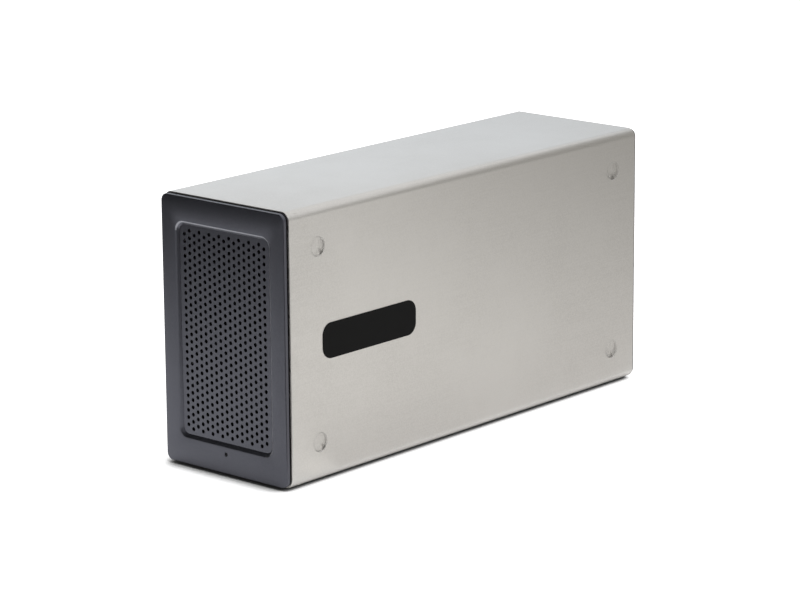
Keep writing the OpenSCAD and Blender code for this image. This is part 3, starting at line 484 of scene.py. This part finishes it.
def lofted(rings: Sequence[Ring]) -> Mesh:
    """Draws a rounded rectangle and pulls it through a row of rings and back to the first.

    Args:
        rings: The rings in order.

    Returns:
        The closed walls, as a new mesh.
    """
    mesh = bmesh.new()
    first = rings[0]
    made = bmesh.ops.create_grid(mesh, x_segments=1, y_segments=1, size=0.5)
    bmesh.ops.scale(mesh, vec=(first.width, first.height, 1), verts=made["verts"])
    bmesh.ops.bevel(mesh, geom=made["verts"], offset=first.radius, segments=CORNER_STEPS,
                    affect="VERTICES", profile=0.5, material=-1)
    edges = list(mesh.edges)
    bmesh.ops.delete(mesh, geom=list(mesh.faces), context="FACES_ONLY")
    shape = {}
    for vert in mesh.verts:
        sx, sz = math.copysign(1, vert.co.x), math.copysign(1, vert.co.y)
        ray = Vector((vert.co.x - sx * (first.width / 2 - first.radius),
                      vert.co.y - sz * (first.height / 2 - first.radius))) / first.radius
        shape[vert] = (sx, sz, ray)
        vert.co = Vector((vert.co.x, first.at, first.centre_z + vert.co.y))
    for ring in [*rings[1:], first]:
        pulled = bmesh.ops.extrude_edge_only(mesh, edges=edges)["geom"]
        fresh = [v for v in pulled if isinstance(v, bmesh.types.BMVert)]
        edges = [e for e in pulled if isinstance(e, bmesh.types.BMEdge)]
        sources = {}
        for vert in fresh:
            source = next(o for e in vert.link_edges for o in [e.other_vert(vert)] if o in shape)
            sources[vert] = shape[source]
        for vert, (sx, sz, ray) in sources.items():
            x = sx * (ring.width / 2 - ring.radius) + ray.x * ring.radius
            z = sz * (ring.height / 2 - ring.radius) + ray.y * ring.radius
            vert.co = Vector((x, ring.at, ring.centre_z + z))
        shape = sources
    return mesh


def finish_mesh(mesh: Mesh, name: str) -> bpy.types.Object:
    """Turns a mesh into an object at the origin, smooth with sharp edges.

    Args:
        mesh: The mesh, which is freed.
        name: Name of the piece.

    Returns:
        The new object, linked to the scene.
    """
    bmesh.ops.remove_doubles(mesh, verts=mesh.verts, dist=WELD)
    bmesh.ops.recalc_face_normals(mesh, faces=mesh.faces)
    data = bpy.data.meshes.new(name)
    mesh.to_mesh(data)
    mesh.free()
    data.shade_smooth()
    data.set_sharp_from_angle(angle=math.radians(SHARP_DEGREES))
    piece = bpy.data.objects.new(name, data)
    bpy.context.collection.objects.link(piece)
    return piece


def turned(mesh: Mesh, profile: Sequence[tuple[float, float]], centre: Vector, axis: Axis,
           steps: int = 48) -> list[bmesh.types.BMVert]:
    """Spins a profile about an axis.

    Args:
        mesh: The mesh that it is added to.
        profile: Pairs of radius and height along the axis.
        centre: Where the axis starts.
        axis: Direction of the axis.
        steps: Facets round the axis.

    Returns:
        The new vertices.
    """
    before = set(mesh.verts)
    verts = [mesh.verts.new((radius, 0.0, height)) for radius, height in profile]
    edges = [mesh.edges.new(pair) for pair in zip(verts, verts[1:])]
    bmesh.ops.spin(mesh, geom=verts + edges, cent=(0, 0, 0), axis=UP, angle=2 * math.pi, steps=steps,
                   use_merge=True, use_duplicate=False)
    made = [v for v in mesh.verts if v not in before]
    bmesh.ops.remove_doubles(mesh, verts=made, dist=WELD)
    made = [v for v in mesh.verts if v not in before]
    turn = {Axis.Z: Matrix.Identity(4), Axis.Y: Matrix.Rotation(-math.pi / 2, 4, "X"),
            Axis.X: Matrix.Rotation(math.pi / 2, 4, "Y")}[axis]
    bmesh.ops.transform(mesh, matrix=Matrix.Translation(centre) @ turn, verts=made)
    return made


def cut_away(piece: bpy.types.Object, tool: Mesh) -> None:
    """Takes one mesh out of a finished piece and keeps the result as plain mesh.

    Args:
        piece: The piece that is cut.
        tool: The shape that is taken out, which is freed.
    """
    cutter = finish_mesh(tool, "cutter")
    modifier = piece.modifiers.new("cut", "BOOLEAN")
    modifier.operation = "DIFFERENCE"
    modifier.solver = "EXACT"
    modifier.object = cutter
    solved = piece.evaluated_get(bpy.context.evaluated_depsgraph_get())
    old = piece.data
    piece.data = bpy.data.meshes.new_from_object(solved)
    piece.modifiers.clear()
    piece.data.set_sharp_from_angle(angle=math.radians(SHARP_DEGREES))
    spare = cutter.data
    bpy.data.objects.remove(cutter)
    bpy.data.meshes.remove(spare)
    bpy.data.meshes.remove(old)


def block(mesh: Mesh, low: Vector, high: Vector, softened: float = 0.0) -> None:
    """Adds a box between two corners, with its edges softened."""
    made = bmesh.ops.create_cube(mesh, size=1.0)["verts"]
    bmesh.ops.scale(mesh, vec=high - low, verts=made)
    bmesh.ops.translate(mesh, vec=(low + high) / 2, verts=made)
    if softened:
        edges = list({e for v in made for e in v.link_edges})
        bmesh.ops.bevel(mesh, geom=edges, offset=softened, segments=2, affect="EDGES", profile=0.5,
                        material=-1)


def bore(radius: float, depth: float) -> list[tuple[float, float]]:
    """Returns the profile of a plain round hole."""
    return [(0, 0), (radius, 0), (radius, depth), (0, depth)]


def middle(node: str) -> Vector:
    """Returns the middle of a node's box."""
    low, high = (Vector(corner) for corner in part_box(node))
    return (low + high) / 2


def add_piece(piece: bpy.types.Object, body: str, slot: str, *nodes: str) -> None:
    """Places a new piece on its body and in its node's place, hiding that node."""
    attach(piece, body)
    if nodes:
        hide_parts(*nodes)
    LOG.info("piece %s: %d faces on %s", piece.name, len(piece.data.polygons), body)


# Sub-assemblies


@dataclass
class SleeveShell:
    """The wrapped metal sleeve with rounded long bends and softened cut edges.

    Attributes:
        finishes: The materials.
        bend: Outer radius of the long bends.
        sheet: Thickness of the sheet.
        softened: How far the cut edges are rounded.
        ear: Width and height of a front ear.
        screw_head: Height of a bezel screw's head.
        head_radius: Radius of that head.
        screw_hole: Radius of an ear's hole.
        lug: Depth of a rear lug.
        lug_width: Width of a rear lug.
        lug_drop: How far a lug reaches below its thumbscrew's axis.
        lug_softened: How far a lug's edges are rounded.
        thread: Radius of a lug's hole.
        gap: Room between a lug and the retaining ring.
        hole_steps: Facets round an ear's hole.
        thread_steps: Facets round a lug's hole.
    """

    finishes: Finishes
    bend: float = 4.5 * MM
    sheet: float = 1.2 * MM
    softened: float = 0.4 * MM
    ear: float = 9.4 * MM
    screw_head: float = 1.8 * MM
    head_radius: float = 2.6 * MM
    screw_hole: float = 1.55 * MM
    lug: float = 2.0 * MM
    lug_width: float = 7.6 * MM
    lug_drop: float = 3.15 * MM
    lug_softened: float = 0.2 * MM
    thread: float = 1.8 * MM
    gap: float = 0.3 * MM
    hole_steps: int = 24
    thread_steps: int = 32

    def build(self) -> bpy.types.Object:
        """Builds the sleeve in place of its plain node and returns it."""
        low, high = (Vector(corner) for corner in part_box("sleeve"))
        width, _, height = high - low
        centre = (low.z + high.z) / 2
        cut = [(1.0, 0.0), (0.62, 0.08), (0.29, 0.29), (0.08, 0.62), (0.0, 1.0)]
        front = [(inset * self.softened, low.y + step * self.softened) for inset, step in cut]
        back = [(inset * self.softened, high.y - step * self.softened) for inset, step in reversed(cut)]
        outside = [Ring(width - 2 * inset, height - 2 * inset, self.bend - inset, at, centre)
                   for inset, at in front + back]
        inside = [Ring(width - 2 * self.sheet, height - 2 * self.sheet, self.bend - self.sheet, at, centre)
                  for at in (high.y, low.y)]
        piece = finish_mesh(lofted(outside + inside), "sleeve_shell")
        self.finishes.dress(piece, "satin_shell")
        add_piece(piece, "housing", "metal_shell", "sleeve")
        self.tabs(low, high)
        return piece

    def tabs(self, low: Vector, high: Vector) -> None:
        """Adds the front ears for the bezel's screws and the rear lugs that the thumbscrews bite into.

        Args:
            low: The sleeve's lowest corner.
            high: Its highest corner.
        """
        sheet = Vector((self.sheet, 0, self.sheet))
        inside_low, inside_high = low + sheet, high - sheet
        mesh, tool = bmesh.new(), bmesh.new()
        self.ears(mesh, tool, inside_low, inside_high)
        self.lugs(mesh, tool, inside_high.z)
        piece = finish_mesh(mesh, "sleeve_tabs")
        cut_away(piece, tool)
        self.finishes.dress(piece, "satin_shell")
        add_piece(piece, "housing", "metal_shell")

    def ears(self, mesh: Mesh, tool: Mesh, low: Vector, high: Vector) -> None:
        """Adds the four front ears and their holes.

        Args:
            mesh: The mesh that gets the ears.
            tool: The mesh that gets the holes.
            low: Lowest corner inside the sleeve.
            high: Highest corner inside the sleeve.
        """
        heads_low, heads_high = (Vector(corner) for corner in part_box("bezel_screws"))
        back = heads_high.y - self.screw_head
        centre = (low.z + high.z) / 2
        for x, wall_x in ((heads_low.x, low.x), (heads_high.x, high.x)):
            for z, wall_z in ((heads_low.z, low.z), (heads_high.z, high.z)):
                inner_x = wall_x - math.copysign(self.ear, wall_x)
                inner_z = wall_z - math.copysign(self.ear, wall_z - centre)
                block(mesh, Vector((min(wall_x, inner_x), back - self.sheet, min(wall_z, inner_z))),
                      Vector((max(wall_x, inner_x), back, max(wall_z, inner_z))))
                head = Vector((x - math.copysign(self.head_radius, x), back - 2 * self.sheet,
                               z - math.copysign(self.head_radius, z - centre)))
                turned(tool, bore(self.screw_hole, 3 * self.sheet), head, Axis.Y, self.hole_steps)

    def lugs(self, mesh: Mesh, tool: Mesh, top: float) -> None:
        """Adds the two rear lugs and their holes.

        Args:
            mesh: The mesh that gets the lugs.
            tool: The mesh that gets the holes.
            top: Height of the ceiling inside the sleeve.
        """
        for side in ("left", "right"):
            ring_low, ring_high = (Vector(corner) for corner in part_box(side + "_ring"))
            x, z = (ring_low.x + ring_high.x) / 2, (ring_low.z + ring_high.z) / 2
            back = ring_low.y - self.gap
            block(mesh, Vector((x - self.lug_width / 2, back - self.lug, z - self.lug_drop)),
                  Vector((x + self.lug_width / 2, back, top)), self.lug_softened)
            turned(tool, bore(self.thread, 2 * self.lug), Vector((x, back - 1.5 * self.lug, z)), Axis.Y,
                   self.thread_steps)


@dataclass
class FrontBezel:
    """The dark front plate: rounded outer edge, and a recess with a soft rim and leaning walls, with a
    painted highlight on the rim's upper and right flanks.

    Attributes:
        finishes: The materials.
        rim: Width of the recess's soft rim.
        rim_depth: Depth of that rim.
        edge: How far the outer edge is rounded.
        corner: Radius of the outer corners.
        recess_corner: Radius of the recess's corners.
        recess_depth: Depth of the recess.
        slope: How far its walls lean inwards.
        recess_width: Width of its mouth.
        recess_height: Height of its mouth.
        seat: How much wider the opening behind it is.
        thickness: Thickness of the plate.
        boss_radius: Outer radius of a screw boss.
        screw_radius: Radius of a boss's hole.
        light_hole: Radius of the status light's hole.
        flare: How much wider that hole starts.
        flare_end: Where it has its own radius, along the cut.
        cut_lead: How far before the face the cut starts.
        cut_length: Length of the cut.
        flank_start: Share of the rim's depth where its painted highlight starts.
        flank_end: Share where it ends.
        flat: Share along Y of a flat face's normal.
        hole_steps: Facets round the status light's hole.
        boss_steps: Facets round a boss.
    """

    finishes: Finishes
    rim: float = 0.9 * MM
    rim_depth: float = 0.55 * MM
    edge: float = 0.45 * MM
    corner: float = 3.8 * MM
    recess_corner: float = 4.5 * MM
    recess_depth: float = 1.4 * MM
    slope: float = 1.0 * MM
    recess_width: float = 61.8 * MM
    recess_height: float = 108.2 * MM
    seat: float = 4.0 * MM
    thickness: float = 2.0 * MM
    boss_radius: float = 2.75 * MM
    screw_radius: float = 1.3 * MM
    light_hole: float = 0.95 * MM
    flare: float = 0.25 * MM
    flare_end: float = 0.3 * MM
    cut_lead: float = 0.05 * MM
    cut_length: float = 4.0 * MM
    flank_start: float = 0.05
    flank_end: float = 0.95
    flat: float = 0.95
    hole_steps: int = 40
    boss_steps: int = 32

    def build(self) -> bpy.types.Object:
        """Builds the bezel in place of its plain node and returns it."""
        low, high = (Vector(corner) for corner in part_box("bezel"))
        back = low.y + self.thickness
        width, height = high.x - low.x, high.z - low.z
        recess_z = middle("grille").z
        centre = (low.z + high.z) / 2
        turns = [math.radians(angle) for angle in (90, 67.5, 45, 22.5, 0)]
        arc = [(1 - math.sin(turn), 1 - math.cos(turn)) for turn in turns]
        outer = [Ring(width, height, self.corner, back, centre)] + [
            Ring(width - 2 * s * self.edge, height - 2 * s * self.edge, self.corner - s * self.edge,
                 low.y + t * self.edge, centre) for s, t in arc]
        curl = [(1, 0), (0.9, 0.04), (0.1, 0.86), (0, 1)]
        rim = [Ring(self.recess_width + 2 * s * self.rim, self.recess_height + 2 * s * self.rim,
                    self.recess_corner + s * self.rim, low.y + t * self.rim_depth, recess_z) for s, t in curl]
        floor_w = self.recess_width - 2 * self.slope
        floor_h = self.recess_height - 2 * self.slope
        floor_y = low.y + self.recess_depth
        inner = [Ring(floor_w, floor_h, self.recess_corner - self.slope, floor_y, recess_z),
                 Ring(floor_w + self.seat, floor_h + self.seat, self.recess_corner, floor_y, recess_z),
                 Ring(floor_w + self.seat, floor_h + self.seat, self.recess_corner, back, recess_z)]
        mesh = lofted(outer + rim + inner)
        self.bosses(mesh, back, high.y)
        piece = finish_mesh(mesh, "front_bezel")
        tool = bmesh.new()
        pipe = middle("light_pipe")
        flared = [(0, 0), (self.light_hole + self.flare, 0), (self.light_hole, self.flare_end),
                  (self.light_hole, self.cut_length), (0, self.cut_length)]
        turned(tool, flared, Vector((pipe.x, low.y - self.cut_lead, pipe.z)), Axis.Y, self.hole_steps)
        cut_away(piece, tool)
        self.finishes.dress(piece, "graphite_coat")
        self.paint_rim_highlight(piece, low.y, recess_z)
        add_piece(piece, "housing", "graphite_front", "bezel")
        return piece

    def paint_rim_highlight(self, piece: bpy.types.Object, front: float, recess_z: float) -> None:
        """Gives the upper and right flanks of the recess's rim a brighter finish, a painted highlight.

        Args:
            piece: The bezel.
            front: Y of its front face.
            recess_z: Height of the recess's middle.
        """
        # Painted highlight: a brighter material for the rim's upper and right flanks
        piece.data.materials.append(self.finishes.made["graphite_painted_highlight"])
        upper = recess_z + self.recess_height / 2 - self.recess_corner
        for face in piece.data.polygons:
            sunk = (face.center.y - front) / self.rim_depth
            within = abs(face.center.x) < self.recess_width / 2 + self.rim
            leaning = self.flank_start < sunk < self.flank_end and abs(face.normal.y) < self.flat
            if leaning and within and (face.center.x > 0 or face.center.z > upper):
                face.material_index = 1

    def bosses(self, mesh: Mesh, back: float, end: float) -> None:
        """Adds the four screw bosses behind the plate.

        Args:
            mesh: The mesh that gets them.
            back: Y of the plate's back.
            end: Y of the bosses' ends.
        """
        low, high = (Vector(corner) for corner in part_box("bezel_screws"))
        inset = 2 * self.screw_radius
        outline = [(self.screw_radius, 0), (self.boss_radius, 0), (self.boss_radius, end - back),
                   (self.screw_radius, end - back), (self.screw_radius, 0)]
        for x in (low.x + inset, high.x - inset):
            for z in (low.z + inset, high.z - inset):
                turned(mesh, outline, Vector((x, back, z)), Axis.Y, self.boss_steps)


@dataclass(frozen=True)
class Lobe:
    """A place round a pad's rim where painted shade or a painted highlight is put.

    Attributes:
        at: Its angle in degrees.
        wide: Angle in degrees over which it fades.
        high: Its strength in the middle.
    """

    at: float
    wide: float
    high: float = 1.0

    def strength(self, angle: float) -> float:
        """Returns its strength at an angle in degrees."""
        away = (angle - self.at + 180) % 360 - 180
        return self.high * math.exp(-(away / self.wide) ** 2)


@dataclass(frozen=True)
class Band:
    """A band along a pad's rim that holds painted shade or a painted highlight.

    Attributes:
        at: Its middle, as a share of the pad's radius.
        wide: Its reach to both sides, as such a share.
    """

    at: float
    wide: float

    def strength(self, across: float) -> float:
        """Returns its strength at a share of the radius."""
        return max(0.0, 1.0 - abs(across - self.at) / self.wide)


# A pad's outline from its rim to its middle, in shares of its radius and thickness
PAD_OUTLINE = ((1, 0.45), (0.985, 0.62), (0.95, 0.76), (0.88, 0.88), (0.76, 0.95), (0.6, 0.985), (0.4, 1),
               (0, 1))
# Where the painted shade and the painted highlight sit round a pad's rim and across it
PAINTED_SHADE_LOBES = (Lobe(0.0, 34.0), Lobe(100.0, 30.0, 0.7), Lobe(-60.0, 30.0, 0.3))
PAINTED_SHADE_BAND = Band(0.955, 0.06)
PAINTED_GLINT_LOBE = Lobe(48.0, 22.0)
PAINTED_GLINT_BAND = Band(0.99, 0.07)


@dataclass
class SidePads:
    """Clear stick-on pads, slightly domed, on the base and the sides, the side pads with painted shade and a
    painted highlight on their rims.

    Attributes:
        finishes: The materials.
        radius: Radius of a pad.
        thickness: Thickness in its middle.
        shade_least: Painted shade that is there all round the rim.
        rear_turn: Degrees that the rear pads' painted pattern is turned.
    """

    finishes: Finishes
    radius: float = 5.0 * MM
    thickness: float = 1.0 * MM
    shade_least: float = 0.14
    rear_turn: float = 40.0

    def profile(self) -> list[tuple[float, float]]:
        """Returns the pad's outline from its middle below to its middle above."""
        r, t = self.radius, self.thickness
        return [(0, 0), (r, 0)] + [(across * r, high * t) for across, high in PAD_OUTLINE]

    def shade(self, mesh: Mesh, verts: Iterable[bmesh.types.BMVert], centre: Vector,
              turn: float) -> None:
        """Writes on a pad's vertices a painted shade and a painted highlight for its rim, by angle round it.

        Args:
            mesh: The mesh that the pad is in.
            verts: The pad's vertices, standing off along X.
            centre: Middle of the pad.
            turn: Angle in degrees that turns the painted pattern.
        """
        shade, glint = mesh.verts.layers.float[SHADE], mesh.verts.layers.float[GLINT]
        for vert in verts:
            out = vert.co - centre
            across = math.hypot(out.y, out.z) / self.radius
            angle = math.degrees(math.atan2(-out.z, out.y)) - turn
            # Painted shade round the rim, from the lobes
            painted_shade_round = min(1.0, self.shade_least + sum([lobe.strength(angle) for lobe in PAINTED_SHADE_LOBES]))
            vert[shade] = PAINTED_SHADE_BAND.strength(across) * painted_shade_round
            vert[glint] = PAINTED_GLINT_BAND.strength(across) * PAINTED_GLINT_LOBE.strength(angle)

    def centres(self, node: str) -> tuple[Vector, Vector]:
        """Returns the lowest and highest pad centres of a node."""
        low, high = (Vector(corner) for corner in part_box(node))
        inset = Vector((self.radius,) * 3)
        return low + inset, high - inset

    def build(self) -> None:
        """Builds the pads in place of their plain nodes."""
        self.sides()
        self.base()

    def sides(self) -> None:
        """Builds the eight pads on the two sides."""
        mesh = bmesh.new()
        mesh.verts.layers.float.new(SHADE)
        mesh.verts.layers.float.new(GLINT)
        low, high = self.centres("side_pads")
        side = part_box("sleeve")[1][0]
        for sx in (-1, 1):
            for y in (low.y, high.y):
                for z in (low.z, high.z):
                    place = Vector((sx * side, y, z))
                    made = turned(mesh, self.profile(), Vector((0, 0, 0)), Axis.X)
                    flip = Matrix.Diagonal((sx, 1, 1, 1))
                    bmesh.ops.transform(mesh, matrix=Matrix.Translation(place) @ flip, verts=made)
                    self.shade(mesh, made, place, 0.0 if y < 0 else self.rear_turn)
        piece = finish_mesh(mesh, "side_pads_clear")
        self.finishes.dress(piece, "clear_pad")
        add_piece(piece, "housing", "clear_pad", "side_pads")

    def base(self) -> None:
        """Builds the four pads under the base, whose rims carry no painted shade and no painted highlight."""
        mesh = bmesh.new()
        low, high = self.centres("base_pads")
        for x in (low.x, high.x):
            for y in (low.y, high.y):
                made = turned(mesh, self.profile(), Vector((0, 0, 0)), Axis.Z)
                flip = Matrix.Diagonal((1, 1, -1, 1))
                lift = Matrix.Translation((x, y, self.thickness))
                bmesh.ops.transform(mesh, matrix=lift @ flip, verts=made)
        piece = finish_mesh(mesh, "base_pads_clear")
        self.finishes.dress(piece, "clear_pad")
        add_piece(piece, "housing", "clear_pad", "base_pads")


@dataclass(frozen=True)
class Fade:
    """How a card grows dimmer along a direction.

    Attributes:
        along: The direction.
        start: Where the card is full, in metres along it.
        end: Where it is dimmest.
        keep: Share of its brightness that is left there.
    """

    along: Vector
    start: float
    end: float
    keep: float


@dataclass
class Studio:
    """Pale floor, a soft lamp, cards for reflections and the camera at the photograph's angle.

    Attributes:
        lens: Focal length in millimetres.
        sensor: Width of the picture in millimetres.
        nearest: Nearest distance that the camera sees.
        azimuth: Degrees that the camera stands aside.
        elevation: Degrees that it looks down.
        roll: Degrees that it is tilted.
        aside: Its X.
        ahead: How far it stands before the bezel.
        above: Its height.
        sky_seen: Strength of the world for the eye and in reflections.
        sky_lit: Its strength on the surfaces.
        floor_reach: Half the floor's width.
        paper: Linear colour of the free floor.
        paper_shaded: Its colour close to the chassis, a painted contact shadow.
        glow_seen: Light that the floor adds for the eye.
        glow_other: Light that it adds in reflections and through glass.
        shade_reach: How near a surface must be to shade it.
        shade_lean: Direction in which that is looked for.
        shade_full: Share of open directions with full shade.
        shade_none: Share of open directions without any.
        shade_samples: Rays for that share.
    """

    lens: float = 148.039
    sensor: float = 36.0
    nearest: float = 0.01
    azimuth: float = 41.2794
    elevation: float = 13.9565
    roll: float = -0.4076
    aside: float = 1.08442
    ahead: float = 1.10523
    above: float = 0.47317
    sky_seen: float = 1.0
    sky_lit: float = 0.45
    floor_reach: float = 4.0
    paper: Colour = (0.8, 0.8, 0.8)
    paper_shaded: Colour = (0.2, 0.2, 0.2)
    glow_seen: float = 0.72
    glow_other: float = 0.42
    shade_reach: float = 13.0 * MM
    shade_lean: tuple[float, float, float] = (0.45, 0.35, 0.82)
    shade_full: float = 0.36
    shade_none: float = 0.76
    shade_samples: int = 8

    def camera(self) -> None:
        """Sets the camera where the photograph's perspective puts it."""
        az, el, ro = (math.radians(v) for v in (self.azimuth, self.elevation, self.roll))
        forward = Vector((-math.sin(az) * math.cos(el), math.cos(az) * math.cos(el), -math.sin(el)))
        right = Vector((math.cos(az), math.sin(az), 0))
        up = right.cross(forward)
        right2 = right * math.cos(ro) + up * math.sin(ro)
        up2 = up * math.cos(ro) - right * math.sin(ro)
        data = bpy.data.cameras.new("view")
        data.lens = self.lens
        data.sensor_width = self.sensor
        data.clip_start = self.nearest
        eye = bpy.data.objects.new("view", data)
        matrix = Matrix((right2, up2, -forward)).transposed().to_4x4()
        place = Vector((self.aside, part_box("bezel")[0][1] - self.ahead, self.above))
        eye.matrix_world = Matrix.Translation(place) @ matrix
        bpy.context.collection.objects.link(eye)
        bpy.context.scene.camera = eye

    def lamp(self, name: str, place: Vector, size: float, power: float, target: Vector) -> None:
        """Adds a square soft lamp that faces a point.

        Args:
            name: Name of the lamp.
            place: Its middle.
            size: Its width.
            power: Its power in watts.
            target: The point.
        """
        data = bpy.data.lights.new(name, "AREA")
        data.shape = "SQUARE"
        data.size = size
        data.energy = power
        lamp = bpy.data.objects.new(name, data)
        lamp.visible_glossy = False
        lamp.location = place
        lamp.rotation_euler = (target - place).to_track_quat("-Z", "Y").to_euler()
        bpy.context.collection.objects.link(lamp)

    def world(self) -> None:
        """Makes the world white to the eye, in mirrors and through glass, and soft grey to the surfaces."""
        world = bpy.data.worlds.new("studio")
        bpy.context.scene.world = world
        w = start(world)
        rays = w.put("LightPath").outputs
        either = w.math("MAXIMUM", rays["Is Camera Ray"], rays["Is Glossy Ray"])
        seen = w.math("MAXIMUM", either, rays["Is Transmission Ray"])
        soft = w.put("Background", {"Color": WHITE, "Strength": self.sky_lit})
        white = w.put("Background", {"Color": WHITE, "Strength": self.sky_seen})
        w.show(w.put("MixShader", {0: seen, 1: soft.outputs[0], 2: white.outputs[0]}), "OutputWorld")

    def floor(self) -> None:
        """Lays a wide pale floor with a painted contact shadow that darkens it close to the chassis."""
        mesh = bmesh.new()
        bmesh.ops.create_grid(mesh, x_segments=1, y_segments=1, size=self.floor_reach)
        floor = finish_mesh(mesh, "floor")
        material = bpy.data.materials.new("floor_paper")
        w = start(material)
        rays = w.put("LightPath").outputs
        others = w.math("MAXIMUM", rays["Is Glossy Ray"], rays["Is Transmission Ray"])
        lift = w.math("MAXIMUM", w.math("MULTIPLY", rays["Is Camera Ray"], self.glow_seen),
                      w.math("MULTIPLY", others, self.glow_other))
        # Painted contact shadow: the share of open directions near the chassis darkens the floor's colour and
        # its glow
        lean = w.put("CombineXYZ", dict(enumerate(self.shade_lean))).outputs[0]
        near = w.put("AmbientOcclusion", {"Distance": self.shade_reach, "Normal": lean},
                     samples=self.shade_samples).outputs["AO"]
        free = w.put("MapRange", {0: near, 1: self.shade_full, 2: self.shade_none}, clamp=True,
                     interpolation_type="SMOOTHSTEP").outputs[0]
        paper = w.put("BsdfDiffuse", {"Color": w.blend(free, self.paper_shaded, self.paper)})
        glow = w.put("Emission", {"Color": WHITE, "Strength": w.math("MULTIPLY", lift, free)})
        w.show(w.put("AddShader", {0: paper.outputs[0], 1: glow.outputs[0]}))
        floor.data.materials.append(material)

    def card(self, name: str, place: Vector, facing: Vector, size: tuple[float, float], colour: Colour,
             fade: Fade | None = None) -> None:
        """Stands up a card that only reflections see.

        Args:
            name: Name of the card.
            place: Its middle.
            facing: Direction that its front points to.
            size: Its width and height.
            colour: Its brightness in the three colours.
            fade: Where it grows dimmer, if it does.
        """
        mesh = bmesh.new()
        made = bmesh.ops.create_grid(mesh, x_segments=1, y_segments=1, size=0.5)
        bmesh.ops.scale(mesh, vec=(*size, 1), verts=made["verts"])
        turn = facing.to_track_quat("Z", "Y").to_matrix().to_4x4()
        bmesh.ops.transform(mesh, matrix=Matrix.Translation(place) @ turn, verts=mesh.verts)
        card = finish_mesh(mesh, name)
        material = bpy.data.materials.new(name)
        w = start(material)
        glow = w.put("Emission", {"Color": colour, "Strength": 1.0})
        if fade:
            place = w.put("TexCoord").outputs["Object"]
            along = w.put("VectorMath", {0: place, 1: fade.along}, operation="DOT_PRODUCT").outputs["Value"]
            span = {0: along, 1: fade.start, 2: fade.end, 3: 1.0, 4: fade.keep}
            w.feed(glow.inputs["Strength"], w.put("MapRange", span, clamp=True).outputs[0])
        w.show(glow)
        card.data.materials.append(material)
        card.visible_camera = False
        card.visible_diffuse = False
        card.visible_shadow = False
        card.visible_transmission = False

    def cards(self) -> None:
        """Stands up the cards that shape the reflections."""
        black, up = (0.03, 0.03, 0.03), Vector(UP)
        self.card("front_card", Vector((-0.25, -0.42, 0.55)), Vector((0.64, 0.73, 0)), (1.2, 1.1), black)
        self.card("corner_card", Vector((0.385, -0.425, 0.002)), up, (0.63, 0.59), black)
        self.card("right_card", Vector((0.62, -0.50, 0.28)), Vector((-0.86, 0.5, 0)), (0.9, 0.56), black)
        self.card("high_card", Vector((-0.64, -0.10, 0.82)), Vector((0.6, 0, -0.8)), (0.55, 0.6), black)
        # Dimmer card over the floor beside the chassis: a painted shadow of that floor, seen in the side's
        # lower reflections
        self.card("near_shadow_card", Vector((0.075, 0.13, 0.003)), up, (0.06, 0.46), (0.80, 0.785, 0.77))
        self.card("rear_card", Vector((0.70, 0.62, 0.30)), Vector((0, -1, 0)), (1.3, 0.6), (0.36, 0.35, 0.33))
        self.card("floor_card", Vector((0.48, 0.28, 0.002)), up, (0.86, 0.80), (1.05, 1.035, 1.01),
                  Fade(Vector((-0.5, 1, 0)), -0.12, 0.34, 0.62))
        self.card("sky_card", Vector((-1.0, 1.15, 0.55)), Vector((0.64, -0.73, 0)), (3.0, 1.1),
                  (1.15, 1.215, 1.285), Fade(Vector((0.73, 0.64, 0)), -0.45, 0.45, 0.64))

    def build(self) -> None:
        """Builds the camera, the world, the floor, the lamp and the cards."""
        self.camera()
        self.world()
        self.floor()
        self.lamp("overhead", Vector((-0.2, 0.1, 1.6)), 1.6, 18.0, Vector((0, 0, 0.05)))
        self.cards()
        scene = bpy.context.scene
        scene.view_settings.view_transform = "Standard"


# Finishes of the nodes that keep their own solids
NODE_FINISHES: tuple[tuple[str, tuple[str, ...]], ...] = (
    ("graphite_coat", ("grille",)),
    ("badge_film", ("side_badge",)),
    ("black_coat", ("rear_panel", "panel_screws", "fan_screws")),
    ("black_moulding", ("front_frame", "lower_fan_frame", "upper_fan_frame", "lower_impeller",
                        "upper_impeller", "card_latch_1", "card_latch_2")),
    ("zinc_sheet", ("tray_floor", "slot_frame", "slot_cover_1", "slot_cover_2")),
    # The fan bracket's darkened zinc is painted shade behind the grille
    ("zinc_painted_shade", ("fan_bracket",)),
    ("screw_steel", ("bezel_screws", "frame_rivets", "cover_screws", "bracket_screws", "board_screws",
                     "left_thumbscrew", "left_ring", "right_thumbscrew", "right_ring")),
    ("bright_nickel", ("standoffs", "usb_c_ports")),
    ("connector_plastic", ("card_connector_1", "card_connector_2", "board_chips", "power_jack")),
    ("header_plastic", ("fan_headers",)),
    ("cable_sheath", ("fan_cables",)),
    ("black_anodised", ("controller_heatsink",)),
    ("plain_fins", ("bridge_heatsink",)),
    ("can_aluminium", ("capacitors",)),
    ("ferrite", ("coils",)),
    ("lamp_lens", ("status_light",)),
    ("clear_rod", ("light_pipe",)),
    ("board_mask", ("main_board", "light_board")),
)


def main() -> None:
    """Builds every sub-assembly in order."""
    logging.basicConfig(level=logging.INFO, format="%(name)s %(message)s")
    build_groups()
    finishes = Finishes()
    SleeveShell(finishes=finishes).build()
    FrontBezel(finishes=finishes).build()
    SidePads(finishes=finishes).build()
    for name, nodes in NODE_FINISHES:
        finishes.dress_nodes(name, nodes)
    Studio().build()


if __name__ == "__main__":
    main()
